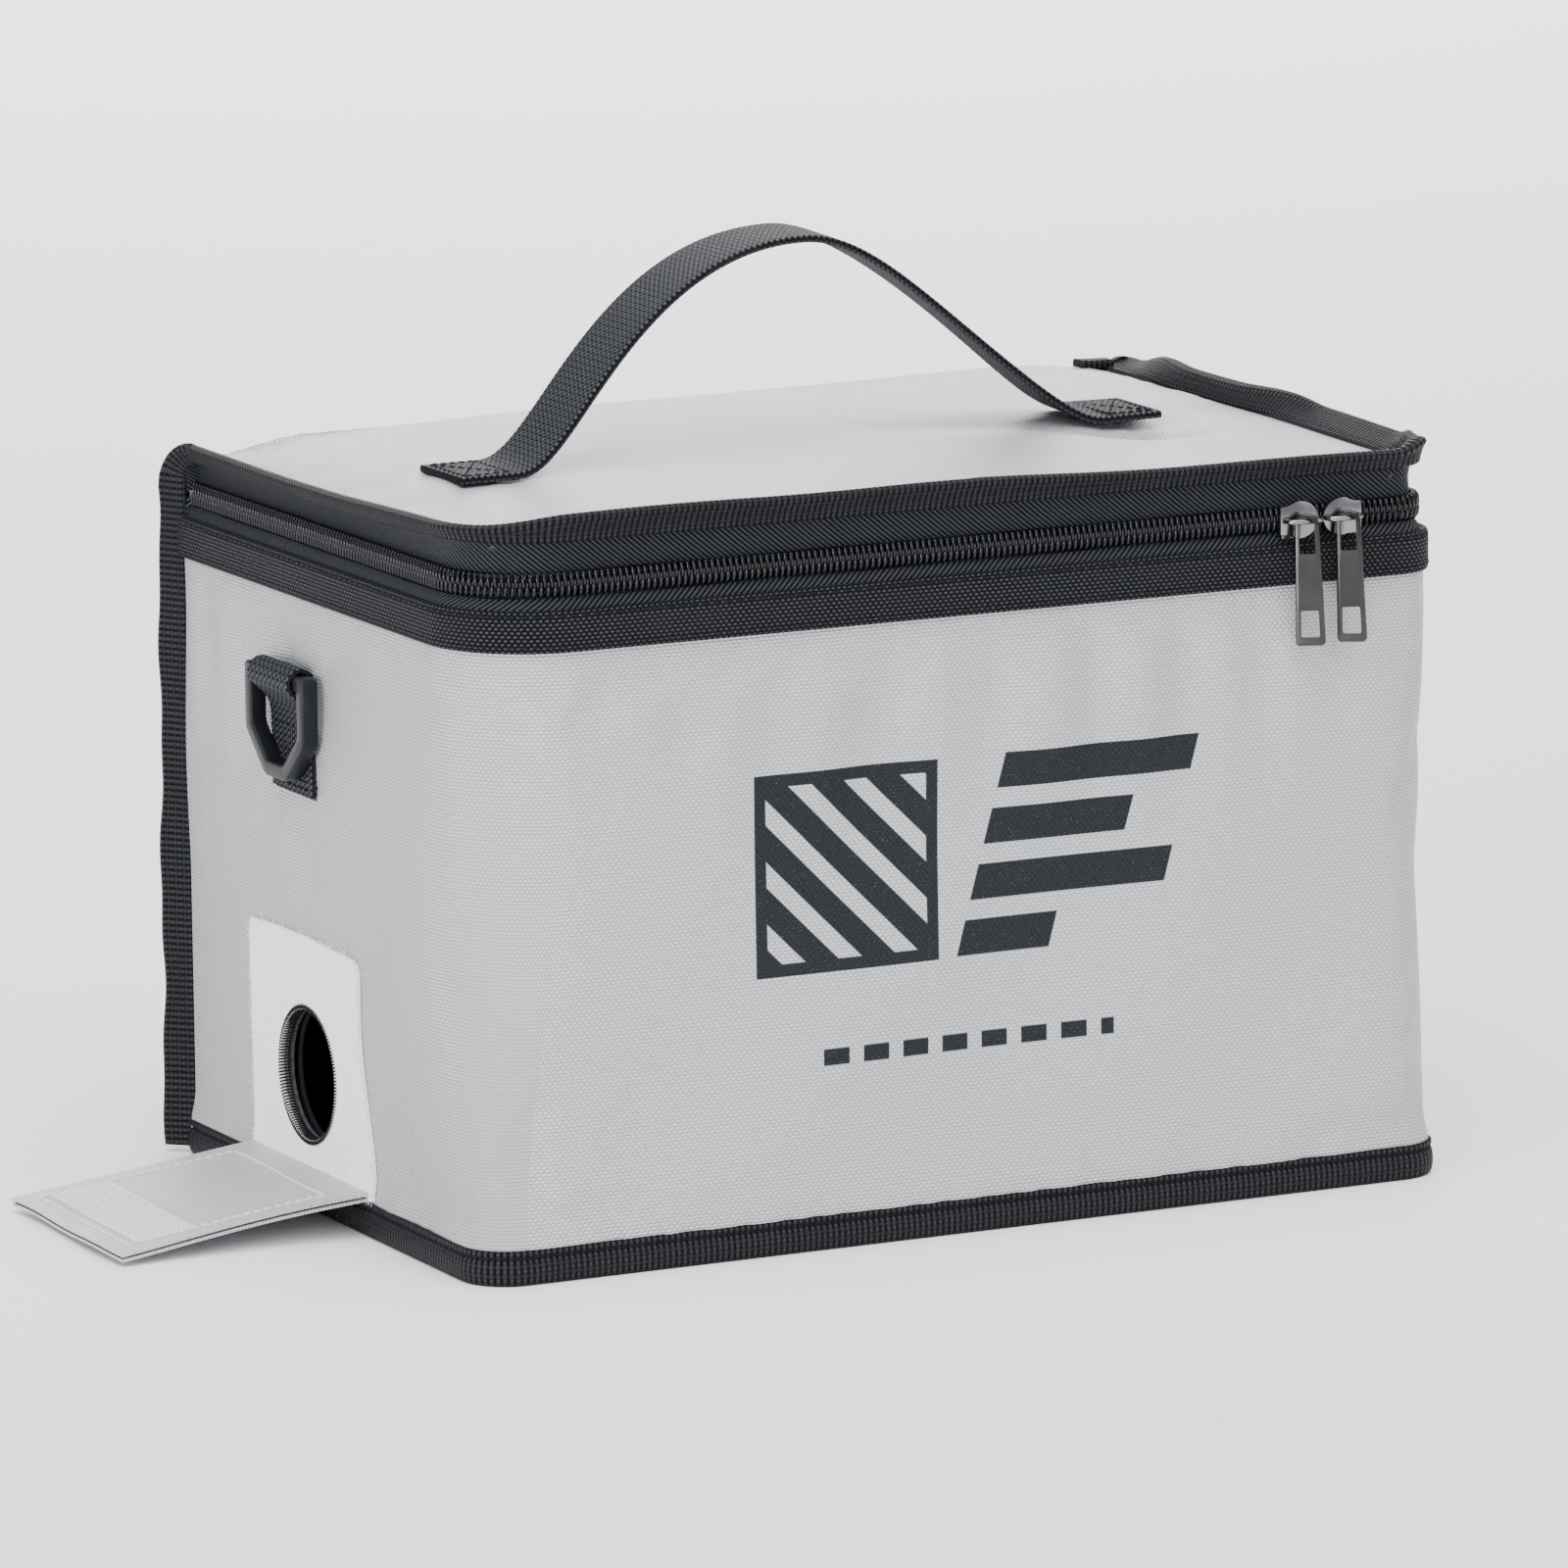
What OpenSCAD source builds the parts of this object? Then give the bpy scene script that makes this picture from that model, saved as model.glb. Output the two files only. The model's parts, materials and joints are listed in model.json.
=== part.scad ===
// Fire-resistant storage bag for lithium packs: a padded box of silver woven glass cloth
// with a zipped lid, a top handle, two side D-rings and a cable port with a flap.
// Origin: centre of the base, on the floor. +X to the right, +Y to the back, +Z up.

/* [Bag] */
// Width of the bag over its cloth walls
bag_w = 217; // [180:1:300]
// Depth of the bag over its cloth walls
bag_d = 145; // [120:1:220]
// Height to the top of the lid cloth
lid_top = 149; // [120:1:200]
// Outer radius of the front left corner
left_corner_r = 21; // [16:0.5:26]
// Outer radius of the front right corner
right_corner_r = 10; // [6:0.5:16]
// Radius of the fold between the back and the lid
fold_r = 10; // [6:0.5:14]

/* [Cloth] */
// Thickness of the silver glass cloth
cloth_t = 0.9; // [0.6:0.1:1.0]
// Thickness of the padding
padding_t = 1.2; // [0.8:0.1:1.3]
// Thickness of the black lining
lining_t = 0.6; // [0.3:0.1:0.7]
// Thickness of the edge webbing
webbing_t = 1.0; // [0.8:0.1:1.2]

/* [Zip] */
// Height of the middle of the zip, measured down from the lid cloth
zip_drop = 9.4; // [9:0.1:11]
// Width of the closed row of teeth
chain_w = 5.2; // [4.6:0.1:5.4]
// Gap between the two rows of teeth
chain_gap = 1.3; // [1.2:0.1:1.6]
// Length of a slider
slider_len = 9.2; // [8:0.1:10]
// Length of a slider's pull tab
pull_len = 27; // [20:0.5:36]

/* [Handle] */
// Width of the handle and D-ring webbing
strap_w = 20; // [15:1:25]
// Height of the handle's crown above the lid cloth
handle_rise = 46; // [36:1:60]
// Half the distance between the handle's two sewn ends
handle_half = 67; // [60:1:72]
// Place of the middle of the handle along the width
handle_x = -2.5; // [-6:0.5:6]

/* [Port] */
// Diameter of the cable port
port_d = 27; // [16:0.5:34]
// Height of the port's centre
port_z = 28; // [24:0.5:34]
// Place of the port's centre along the depth
port_y = 11; // [-10:0.5:15]

/* [Hidden] */

$fn = 64;
silver = [0.80, 0.81, 0.82];
black = [0.12, 0.13, 0.14];
charcoal = [0.20, 0.21, 0.23];
nickel = [0.55, 0.56, 0.58];
white = [0.92, 0.93, 0.94];

half_w = bag_w / 2;
half_d = bag_d / 2;
layer_gap = 0.05;
move_gap = 0.3;
left_corner_y = -half_d + left_corner_r;
right_corner_y = -half_d + right_corner_r;

// Depth of each layer's outer face below the wall's outer face
pad_in = cloth_t + layer_gap;
lining_in = pad_in + padding_t + layer_gap;
wall_in = lining_in + lining_t;
tape_in = wall_in + layer_gap;
tape_t = 0.5;
tape_back = tape_in + tape_t;

// Heights
binding_h = 7;
rim_h = 8.2;
rim_top = lid_top - 14.4;
rim_low = rim_top - rim_h;
zip_z = lid_top - zip_drop;
chain_low = zip_z - chain_w / 2;
chain_high = zip_z + chain_w / 2;
tape_low = rim_top - 12;
floor_top = lining_in + lining_t;
lid_lining_low = lid_top - 2.8;
flange_low = lid_top - 2.1;
flange_top = lid_top + 4.4;
flange_out = 0.3;
flange_in = flange_out + 2.4;
lid_in = flange_in + layer_gap;

// Fold between back and lid
fold_y = half_d - fold_r - 0.1;
fold_z = lid_top - fold_r;
skirt_y = fold_y - 0.1;
coil_out = 0.85;
coil_in = tape_in - layer_gap;

// Outline of the bag in plan, moved inwards by inset: square back, round front corners
module footprint(inset) {
    translate([-half_w + inset, left_corner_y])
        square([bag_w - 2 * inset, half_d - inset - left_corner_y]);
    translate([-half_w + left_corner_r, -half_d + inset])
        square([bag_w - left_corner_r - right_corner_r, left_corner_r - inset]);
    translate([half_w - right_corner_r, right_corner_y])
        square([right_corner_r - inset, left_corner_r - right_corner_r]);
    translate([-half_w + left_corner_r, left_corner_y])
        circle(r = left_corner_r - inset);
    translate([half_w - right_corner_r, right_corner_y])
        circle(r = right_corner_r - inset);
}

// Ring between two insets, from z_low to z_high, all the way round
module closed_band(outer_inset, inner_inset, z_low, z_high) {
    translate([0, 0, z_low]) linear_extrude(z_high - z_low)
        difference() {
            footprint(outer_inset);
            footprint(inner_inset);
        }
}

// Band along the left, front and right walls that ends at y_end
module open_band(outer_inset, inner_inset, z_low, z_high, y_end) {
    translate([0, 0, z_low]) linear_extrude(z_high - z_low)
        difference() {
            footprint(outer_inset);
            footprint(inner_inset);
            translate([-bag_w, y_end]) square([2 * bag_w, bag_d]);
            translate([-half_w + inner_inset, 0])
                square([bag_w - 2 * inner_inset, bag_d]);
        }
}

// Horizontal layer inside the walls, cut straight at y_end
module level_sheet(inset, z_low, thickness, y_end = half_d) {
    translate([0, 0, z_low]) linear_extrude(thickness)
        difference() {
            footprint(inset);
            translate([-bag_w, y_end]) square([2 * bag_w, bag_d]);
        }
}

// Cable port drilled through the left wall
module port_bore(diameter = port_d) {
    translate([-half_w - 5, port_y, port_z]) rotate([0, 90, 0])
        cylinder(d = diameter, h = 12);
}

// ---------- body of the bag ----------

module bottom_cloth() {
    color(silver) level_sheet(0, 0, cloth_t);
}

module bottom_padding() {
    color(charcoal) level_sheet(lining_in, pad_in, padding_t, half_d - lining_in);
}

module bottom_binding() {
    color(black) closed_band(-layer_gap - 1.4, -layer_gap, 0, binding_h);
}

module outer_wrap() {
    color(silver) difference() {
        open_band(0, cloth_t, pad_in, rim_top, half_d - pad_in);
        port_bore();
    }
}

module back_cloth() {
    color(silver) translate([-half_w, half_d - cloth_t, pad_in])
        cube([bag_w, cloth_t, fold_z - pad_in]);
}

module front_padding() {
    color(charcoal) translate([0, 0, pad_in]) linear_extrude(rim_top - pad_in)
        difference() {
            footprint(pad_in);
            footprint(pad_in + padding_t);
            translate([-half_w, left_corner_y]) square([bag_w, bag_d]);
        }
}

// Flat padding of one side wall, from the front corner to the back wall
module side_padding_plate(side) {
    translate([side > 0 ? half_w - pad_in - padding_t : -half_w + pad_in,
               left_corner_y + layer_gap, pad_in])
        cube([padding_t, half_d - pad_in - layer_gap - left_corner_y - layer_gap,
              rim_top - pad_in]);
}

module left_padding() {
    color(charcoal) difference() {
        side_padding_plate(-1);
        port_bore();
    }
}

module right_padding() {
    color(charcoal) side_padding_plate(1);
}

module back_padding() {
    pad_w = bag_w - 2 * (pad_in + padding_t + layer_gap);
    color(charcoal) translate([-pad_w / 2, half_d - pad_in - padding_t, pad_in])
        cube([pad_w, padding_t, rim_top - pad_in]);
}

module body_lining() {
    color(black) difference() {
        translate([0, 0, lining_in]) linear_extrude(rim_top - lining_in)
            footprint(lining_in);
        translate([0, 0, floor_top]) linear_extrude(rim_top) footprint(wall_in);
        port_bore();
    }
}

module rim_webbing() {
    color(black) open_band(-layer_gap - webbing_t, -layer_gap, rim_low, rim_top,
                           half_d - 3);
}

// Standing edge where the back cloth is bound to a side wall
module back_binding(side) {
    flange_len = 7;
    bead_d = 2.4;
    translate([side * half_w, half_d, binding_h + 0.1])
        rotate([0, 0, side > 0 ? 45 : 135]) linear_extrude(fold_z - binding_h - 0.1) {
            translate([layer_gap, -bead_d / 2])
                square([flange_len - bead_d / 2, bead_d]);
            translate([flange_len - bead_d / 2, 0]) circle(d = bead_d);
        }
}

module back_binding_left() {
    color(black) back_binding(-1);
}

module back_binding_right() {
    color(black) back_binding(1);
}

module zip_tape_lower() {
    color(black) open_band(tape_in, tape_back, tape_low, zip_z - chain_gap / 2 - 0.05,
                           half_d - tape_back);
}

module zip_coil_lower() {
    color(black) open_band(coil_out, coil_in, chain_low, zip_z - chain_gap / 2,
                           skirt_y);
}

// ---------- D-rings ----------

ring_y = 14;
ring_t = 3.6;
ring_bar = 3.7;
ring_w = 29;
ring_h = 22.5;
ring_pin_r = 1.75;
ring_z = 110.2;
loop_bore_r = 2.1;
loop_r = loop_bore_r + webbing_t;
strap_base = 2 * cloth_t;
ring_out = half_w + layer_gap + strap_base + move_gap + ring_t / 2;

// Webbing that holds a D-ring: two layers sewn flat, and a turn round the ring's bar
module d_loop(side) {
    mirror([side > 0 ? 1 : 0, 0, 0]) translate([0, ring_y - strap_w / 2, 0]) {
        difference() {
            union() {
                translate([-half_w - layer_gap - strap_base, 0, 86])
                    cube([strap_base, strap_w, ring_z - 86]);
                translate([-ring_out, 0, ring_z]) rotate([-90, 0, 0])
                    cylinder(r = loop_r, h = strap_w);
            }
            translate([-ring_out, -1, ring_z]) rotate([-90, 0, 0])
                cylinder(r = loop_bore_r, h = strap_w + 2);
        }
    }
}

module d_loop_left() {
    color(black) d_loop(-1);
}

module d_loop_right() {
    color(black) d_loop(1);
}

// Half-width of the ring's outline at the foot of its slanted sides
ring_foot = 5;
ring_slant = 8.5;

// Outline of the ring below its bar, drawn with y across and z up from the bar
module ring_outline(shrink) {
    half = ring_w / 2 - shrink;
    foot = ring_foot - shrink * 0.3;
    low = -ring_h + ring_pin_r + shrink;
    slant = -ring_h + ring_pin_r + ring_slant + shrink * 0.4;
    polygon([[-half, 0], [-half, slant], [-foot, low], [foot, low], [half, slant],
             [half, 0]]);
}

module d_ring(side) {
    mirror([side > 0 ? 1 : 0, 0, 0]) translate([-ring_out, ring_y, ring_z]) {
        rotate([90, 0, 90]) translate([0, 0, -ring_t / 2]) linear_extrude(ring_t)
            difference() {
                ring_outline(0);
                ring_outline(ring_bar);
            }
        rotate([-90, 0, 0]) translate([0, 0, -ring_w / 2])
            cylinder(r = ring_pin_r, h = ring_w);
    }
}

module d_ring_left() {
    color(black) d_ring(-1);
}

module d_ring_right() {
    color(black) d_ring(1);
}

// ---------- cable port ----------

patch_t = 0.8;
patch_w = 58;
patch_low = 9;
patch_high = 57;
patch_y = port_y - 2;
port_stitch = 1.6;

module port_patch() {
    color(white) difference() {
        translate([-half_w - layer_gap - patch_t, patch_y - patch_w / 2, patch_low])
            cube([patch_t, patch_w, patch_high - patch_low]);
        port_bore(port_d + 2 * port_stitch);
    }
}

// Ring of overlock stitching round the port, level with the patch
module port_rim() {
    color(black) difference() {
        translate([-half_w - layer_gap - patch_t, port_y, port_z])
            rotate([0, 90, 0])
                cylinder(d = port_d + 2 * port_stitch - 2 * layer_gap, h = patch_t);
        port_bore();
    }
}

flap_t = 1.8;
flap_len = 54;
flap_droop = 7;
flap_pivot_x = -half_w - layer_gap - patch_t - 2 * move_gap - flap_t / 2;
flap_pivot_z = 8.3;

// Puts a shape drawn for the open flap, lying along -X from its hinge, in its place
module at_open_flap() {
    translate([flap_pivot_x, patch_y, flap_pivot_z]) rotate([0, -flap_droop, 0])
        children();
}

module port_flap() {
    color(silver) at_open_flap() {
        translate([-flap_len, -patch_w / 2, -flap_t / 2])
            cube([flap_len, patch_w, flap_t]);
    }
}

module flap_hook() {
    hook_len = 16;
    color(white) at_open_flap() {
        translate([-flap_len + 4, -patch_w / 2 + 4, flap_t / 2 + layer_gap])
            cube([hook_len, patch_w - 8, 0.2]);
    }
}

// ---------- lid ----------

module lid_cloth() {
    color(silver) level_sheet(lid_in, lid_top - cloth_t, cloth_t, skirt_y);
}

module lid_padding() {
    color(charcoal) level_sheet(lid_in + 0.1, lid_top - pad_in - padding_t, padding_t,
                                skirt_y);
}

module lid_lining() {
    color(black) level_sheet(tape_back + layer_gap, lid_lining_low, lining_t, skirt_y);
}

// Quarter turn of cloth between two radii, from x_low to x_high
module fold_strip(r_in, r_out, x_low, x_high) {
    translate([x_low, fold_y, fold_z + 0.1]) rotate([90, 0, 90])
        linear_extrude(x_high - x_low) intersection() {
            difference() {
                circle(r = r_out);
                circle(r = r_in);
            }
            square([2 * r_out, 2 * r_out]);
        }
}

module hinge_fold() {
    color(silver) fold_strip(fold_r - cloth_t, fold_r, -half_w + lid_in,
                             half_w - lid_in);
}

module fold_binding_left() {
    color(black) fold_strip(fold_r + 0.05, fold_r + 4.3, -half_w + flange_out,
                            -half_w + flange_in);
}

module fold_binding_right() {
    color(black) fold_strip(fold_r + 0.05, fold_r + 4.3, half_w - flange_in,
                            half_w - flange_out);
}

module lid_binding() {
    color(black) open_band(flange_out, flange_in, flange_low, flange_top, skirt_y);
}

module zip_tape_upper() {
    color(black) open_band(tape_in, tape_back, zip_z + chain_gap / 2 + 0.05,
                           lid_lining_low + lining_t, skirt_y);
}

module zip_coil_upper() {
    color(black) open_band(coil_out, coil_in, zip_z + chain_gap / 2, chain_high,
                           skirt_y);
}

// ---------- handle ----------

strap_t = 1.8;
end_len = 13;
foot_z = lid_top + 0.05 + strap_t / 2;
crown_z = lid_top + handle_rise;
crown_x = -1.5;
// Share of each side's curve, from the foot up, that flexes when the handle tilts
tail_share = 0.43;

// Point at share t of a cubic curve with ends p and s and control points q and r
function curve_point(p, q, r, s, t) =
    (1 - t) * (1 - t) * (1 - t) * p + 3 * (1 - t) * (1 - t) * t * q
    + 3 * (1 - t) * t * t * r + t * t * t * s;

// Centre line of the handle: u runs from 0 at the left foot, past 1 at the crown, to 2
function strap_point(u) =
    u < 1
    ? curve_point([-handle_half, foot_z], [-handle_half + 6, foot_z],
                  [crown_x - 43, crown_z], [crown_x, crown_z], u)
    : curve_point([crown_x, crown_z], [crown_x + 26, crown_z],
                  [handle_half - 10, foot_z], [handle_half, foot_z], u - 1);

function strap_direction(u) =
    let (a = strap_point(max(0, u - 0.01)), b = strap_point(min(2, u + 0.01)))
    (b - a) / norm(b - a);

// Point of the strap's face at u, moved sideways by side half-thicknesses
function strap_face(u, side) =
    let (d = strap_direction(u))
    strap_point(u) + side * strap_t / 2 * [-d[1], d[0]];

// Webbing between two places on the centre line
module strap_piece(u_start, u_end, steps) {
    places = [for (i = [0 : steps]) u_start + (u_end - u_start) * i / steps];
    translate([handle_x, strap_w / 2, 0]) rotate([90, 0, 0]) linear_extrude(strap_w)
        polygon(concat([for (u = places) strap_face(u, 1)],
                       [for (i = [steps : -1 : 0]) strap_face(places[i], -1)]));
}

module handle_end(side) {
    translate([handle_x + (side > 0 ? handle_half + 0.1 : -handle_half - end_len),
               -strap_w / 2, foot_z - strap_t / 2])
        cube([end_len - 0.1, strap_w, strap_t]);
}

module handle_end_left() {
    color(black) handle_end(-1);
}

module handle_end_right() {
    color(black) handle_end(1);
}

module handle_arch() {
    color(black) strap_piece(tail_share, 2 - tail_share, 24);
}

module handle_tail_left() {
    color(black) strap_piece(0.03, tail_share, 10);
}

module handle_tail_right() {
    color(black) strap_piece(2 - tail_share, 1.97, 10);
}

// ---------- sliders and pulls ----------

right_slider_x = 85;
left_slider_x = right_slider_x - slider_len - 0.4;
plate_t = 1.1;
plate_back = half_d - coil_out + 0.45;
plate_front = plate_back + plate_t;
shoulder_r = 3.9;
tail_half = 3.1;
bail_r = 0.5;
bail_out = plate_front + 2.6;
bail_leg_x = 3.6;
bail_leg_w = 0.8;
bail_leg_h = 0.8;

// One slider, with its tail towards tail_side, drawn round x = 0 at the front wall
module slider(tail_side) {
    mirror([tail_side > 0 ? 0 : 1, 0, 0]) translate([0, 0, zip_z]) {
        // front wing
        translate([0, -plate_back, 0]) rotate([90, 0, 0]) linear_extrude(plate_t) {
            translate([-slider_len / 2 + shoulder_r, 0]) circle(r = shoulder_r);
            translate([-slider_len / 2 + shoulder_r, -tail_half])
                square([slider_len - shoulder_r, 2 * tail_half]);
        }
        // lower flange under the lower teeth
        translate([-1, -plate_back - 0.6, -chain_w / 2 - 1.1])
            cube([slider_len / 2 + 0.6, plate_back - half_d + tape_in + 0.15, 0.8]);
        // post between the two rows of teeth
        translate([-slider_len / 2 + 2, -plate_back - 0.3, -0.4])
            cube([1.6, plate_back - half_d + tape_back + 1.3, 0.8]);
        // back wing behind the tape
        translate([-slider_len / 2 + 1.2, -half_d + tape_back + 0.7, -3])
            cube([6.4, 1, 6]);
        // bridge that carries the pull
        for (leg_x = [-bail_leg_x - bail_leg_w / 2, bail_leg_x - bail_leg_w / 2])
            translate([leg_x, -bail_out, -bail_leg_h / 2])
                cube([bail_leg_w, bail_out - plate_front + 0.2, bail_leg_h]);
        translate([-bail_leg_x - bail_leg_w, -bail_out, 0]) rotate([0, 90, 0])
            cylinder(r = bail_r, h = 2 * (bail_leg_x + bail_leg_w));
    }
}

module slider_left() {
    color(nickel) translate([left_slider_x, 0, 0]) slider(-1);
}

module slider_right() {
    color(nickel) translate([right_slider_x, 0, 0]) slider(1);
}

pull_skew = 35;
pull_tilt = 4;
eye_w = 5;
eye_bar = 0.9;
eye_slot = 7.3;
eye_t = 0.8;
tab_t = 1.4;
tab_w = 6.1;
window_h = 5.5;
window_low = 1.7;

// Outline of a pull: a rounded eye at the top and a longer tab that widens downwards
module pull_outline() {
    top = eye_w / 2;
    translate([0, 0]) circle(d = eye_w);
    polygon([[-top, 0], [-tab_w / 2, top - pull_len], [tab_w / 2, top - pull_len],
             [top, 0]]);
}

// A pull hung from a bridge at the origin of its axis, drawn round x = 0
module pull() {
    eye_z = bail_r + move_gap + eye_bar - eye_w / 2;
    slot_w = eye_w - 2 * eye_bar;
    solid_top = eye_w / 2 - eye_bar - eye_slot;
    window_bottom = eye_w / 2 - pull_len + window_low;
    translate([0, -bail_out, zip_z]) rotate([-pull_tilt, 0, 0])
        rotate([0, 0, -pull_skew]) translate([0, 0, eye_z]) rotate([90, 0, 0])
            difference() {
                union() {
                    translate([0, 0, -eye_t / 2]) linear_extrude(eye_t)
                        pull_outline();
                    translate([0, 0, -tab_t / 2]) linear_extrude(tab_t)
                        intersection() {
                            pull_outline();
                            translate([-eye_w, solid_top - pull_len])
                                square([2 * eye_w, pull_len]);
                        }
                }
                translate([0, 0, -eye_w]) linear_extrude(2 * eye_w) {
                    translate([0, eye_w / 2 - eye_bar - slot_w / 2])
                        circle(d = slot_w);
                    translate([-slot_w / 2, solid_top])
                        square([slot_w, eye_slot - slot_w / 2]);
                    translate([-tab_w / 2 + 1.1, window_bottom])
                        square([tab_w - 2.2, window_h]);
                }
            }
}

module pull_left() {
    color(nickel) translate([left_slider_x, 0, 0]) pull();
}

module pull_right() {
    color(nickel) translate([right_slider_x, 0, 0]) pull();
}

bottom_cloth();
bottom_padding();
bottom_binding();
outer_wrap();
back_cloth();
front_padding();
left_padding();
right_padding();
back_padding();
body_lining();
rim_webbing();
back_binding_left();
back_binding_right();
zip_tape_lower();
zip_coil_lower();
d_loop_left();
d_loop_right();
port_patch();
port_rim();
lid_cloth();
lid_padding();
lid_lining();
hinge_fold();
fold_binding_left();
fold_binding_right();
lid_binding();
zip_tape_upper();
zip_coil_upper();
handle_end_left();
handle_end_right();
handle_arch();
handle_tail_left();
handle_tail_right();
slider_left();
slider_right();
pull_left();
pull_right();
d_ring_left();
d_ring_right();
port_flap();
flap_hook();
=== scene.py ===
"""Soft goods, webbing, zip and fittings of a zipped battery storage bag, built round its CAD frame."""
import json
import math

import bmesh
import bpy
import numpy as np
from bpy.props import FloatProperty, FloatVectorProperty, PointerProperty
from mathutils import Matrix, Vector


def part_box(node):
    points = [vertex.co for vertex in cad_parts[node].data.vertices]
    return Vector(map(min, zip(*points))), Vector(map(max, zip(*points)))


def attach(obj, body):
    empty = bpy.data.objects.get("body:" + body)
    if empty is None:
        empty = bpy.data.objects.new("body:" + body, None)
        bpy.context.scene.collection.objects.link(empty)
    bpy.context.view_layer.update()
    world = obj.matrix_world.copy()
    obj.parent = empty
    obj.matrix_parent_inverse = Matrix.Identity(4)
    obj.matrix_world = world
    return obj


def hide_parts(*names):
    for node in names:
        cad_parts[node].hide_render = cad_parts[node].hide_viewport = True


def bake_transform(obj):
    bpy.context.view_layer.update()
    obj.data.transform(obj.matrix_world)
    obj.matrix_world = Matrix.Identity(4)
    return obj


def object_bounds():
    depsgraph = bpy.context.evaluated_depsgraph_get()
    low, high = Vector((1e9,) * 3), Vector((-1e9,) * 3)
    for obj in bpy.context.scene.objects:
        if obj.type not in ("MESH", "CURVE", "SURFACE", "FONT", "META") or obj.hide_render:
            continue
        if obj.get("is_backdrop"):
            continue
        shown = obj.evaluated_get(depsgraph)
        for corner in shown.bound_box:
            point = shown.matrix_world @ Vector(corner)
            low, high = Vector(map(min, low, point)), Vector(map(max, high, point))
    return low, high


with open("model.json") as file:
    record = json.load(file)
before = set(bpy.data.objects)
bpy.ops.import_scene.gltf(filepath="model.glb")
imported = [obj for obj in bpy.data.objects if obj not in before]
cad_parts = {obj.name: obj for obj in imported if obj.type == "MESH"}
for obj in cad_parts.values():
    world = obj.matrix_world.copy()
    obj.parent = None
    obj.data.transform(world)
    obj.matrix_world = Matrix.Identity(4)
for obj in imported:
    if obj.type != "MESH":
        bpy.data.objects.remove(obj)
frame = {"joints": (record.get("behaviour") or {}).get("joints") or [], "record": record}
CAD_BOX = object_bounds()

bl_info = {
    "name": "Battery storage bag",
    "version": (1, 0, 0),
    "blender": (4, 5, 0),
    "location": "View3D > Sidebar > Bag",
    "description": "Makes the cloth, webbing, zip and fittings of a zipped storage bag",
    "category": "Object",
}

MM = 0.001


def low(node):
    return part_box(node)[0]


def high(node):
    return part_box(node)[1]


def centre_of(node):
    return (low(node) + high(node)) / 2


def joint_place(name):
    return Vector(next(j for j in frame["joints"] if j["name"] == name)["pos_m"])


# Places that the frame gives, in metres
HALF_W = high("outer_wrap").x
FRONT_Y = low("outer_wrap").y
BACK_Y = high("back_cloth").y
WALL_FOOT = low("outer_wrap").z
RIM_TOP = high("outer_wrap").z
RIM_LOW = low("rim_webbing").z
LEFT_R = high("front_padding").y - FRONT_Y
RIGHT_R = 10 * MM
LID_TOP = high("lid_cloth").z
LID_INSET = HALF_W - high("lid_cloth").x
FOLD_Y = low("hinge_fold").y
FOLD_Z = high("back_cloth").z
FOLD_R = 4.5 * MM
FOOT_BACK_R = 2 * MM
# Where the edge binding is sewn: in from the back corner, in from the lid's edge, and high
ROOT_IN_BACK = 0.9 * MM
ROOT_IN_LID = 2.6 * MM
ROOT_Z = low("lid_binding").z + 1.3 * MM
ZIP_Z = (low("zip_coil_lower").z + high("zip_coil_upper").z) / 2
FOOT_TOP = high("bottom_binding").z
CLOTH_T = BACK_Y - low("back_cloth").y
PADDING_T = high("back_padding").y - low("back_padding").y
SKIRT_Y = high("lid_cloth").y
LINING_T = 0.5 * MM

# Number of steps along a side wall, round a front corner and along the front
SIDE_N, ARC_N, FRONT_N = 44, 14, 62


def length_property(name, description, millimetres):
    return FloatProperty(
        name=name, description=description, default=millimetres * MM, unit="LENGTH"
    )


class BagSizes(bpy.types.PropertyGroup):
    """Sizes of the soft goods that a maker would change."""

    foot_corner_r: length_property("Foot corner", "Radius of the front corners at the base", 9)
    wall_swell: length_property("Wall swell", "How far the padding may push a wall out", 1.5)
    weave_across: length_property("Weave width", "Distance between yarns along a row", 1.2)
    weave_along: length_property("Weave height", "Distance between rows of yarns", 0.74)
    tooth_pitch: length_property("Tooth pitch", "Distance between teeth of one row", 1.34)
    stitch_pitch: length_property("Stitch pitch", "Distance between stitches", 2.6)
    thread_d: length_property("Thread", "Diameter of the sewing thread", 0.42)


def colour_property(name, description, default):
    return FloatVectorProperty(
        name=name, description=description, subtype="COLOR", default=default, min=0, max=1
    )


class BagColours(bpy.types.PropertyGroup):
    """Base colours of the bag's finishes."""

    silver: colour_property("Silver cloth", "Coated glass cloth", (0.56, 0.575, 0.60))
    ink: colour_property("Print", "Ink of the print on the front", (0.010, 0.012, 0.016))
    webbing: colour_property("Webbing", "Black ribbed webbing", (0.0082, 0.0088, 0.0104))
    tape: colour_property("Zip tape", "Black zip tape", (0.0055, 0.006, 0.0068))
    nylon: colour_property("Zip teeth", "Black nylon of the teeth", (0.0045, 0.0052, 0.007))
    metal: colour_property("Slider metal", "Dull nickel plating", (0.24, 0.24, 0.25))
    plastic: colour_property("Ring plastic", "Moulded black plastic", (0.008, 0.009, 0.011))
    pile: colour_property("Loop patch", "White loop pile", (0.93, 0.94, 0.95))
    # painted shade: the lining is made near black so that the inside of the bag seen through the port
    # looks dark
    lining: colour_property("Lining", "Black woven lining", (0.016, 0.018, 0.022))
    felt: colour_property("Padding", "Needled padding", (0.05, 0.05, 0.055))
    thread: colour_property("Pale thread", "Thread of the flap's hem", (0.62, 0.63, 0.65))
    floor: colour_property("Floor", "Plain pale floor", (0.92, 0.92, 0.92))


def sizes():
    return bpy.context.scene.bag_sizes


def colours():
    return bpy.context.scene.bag_colours


# ---------- materials ----------


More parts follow.
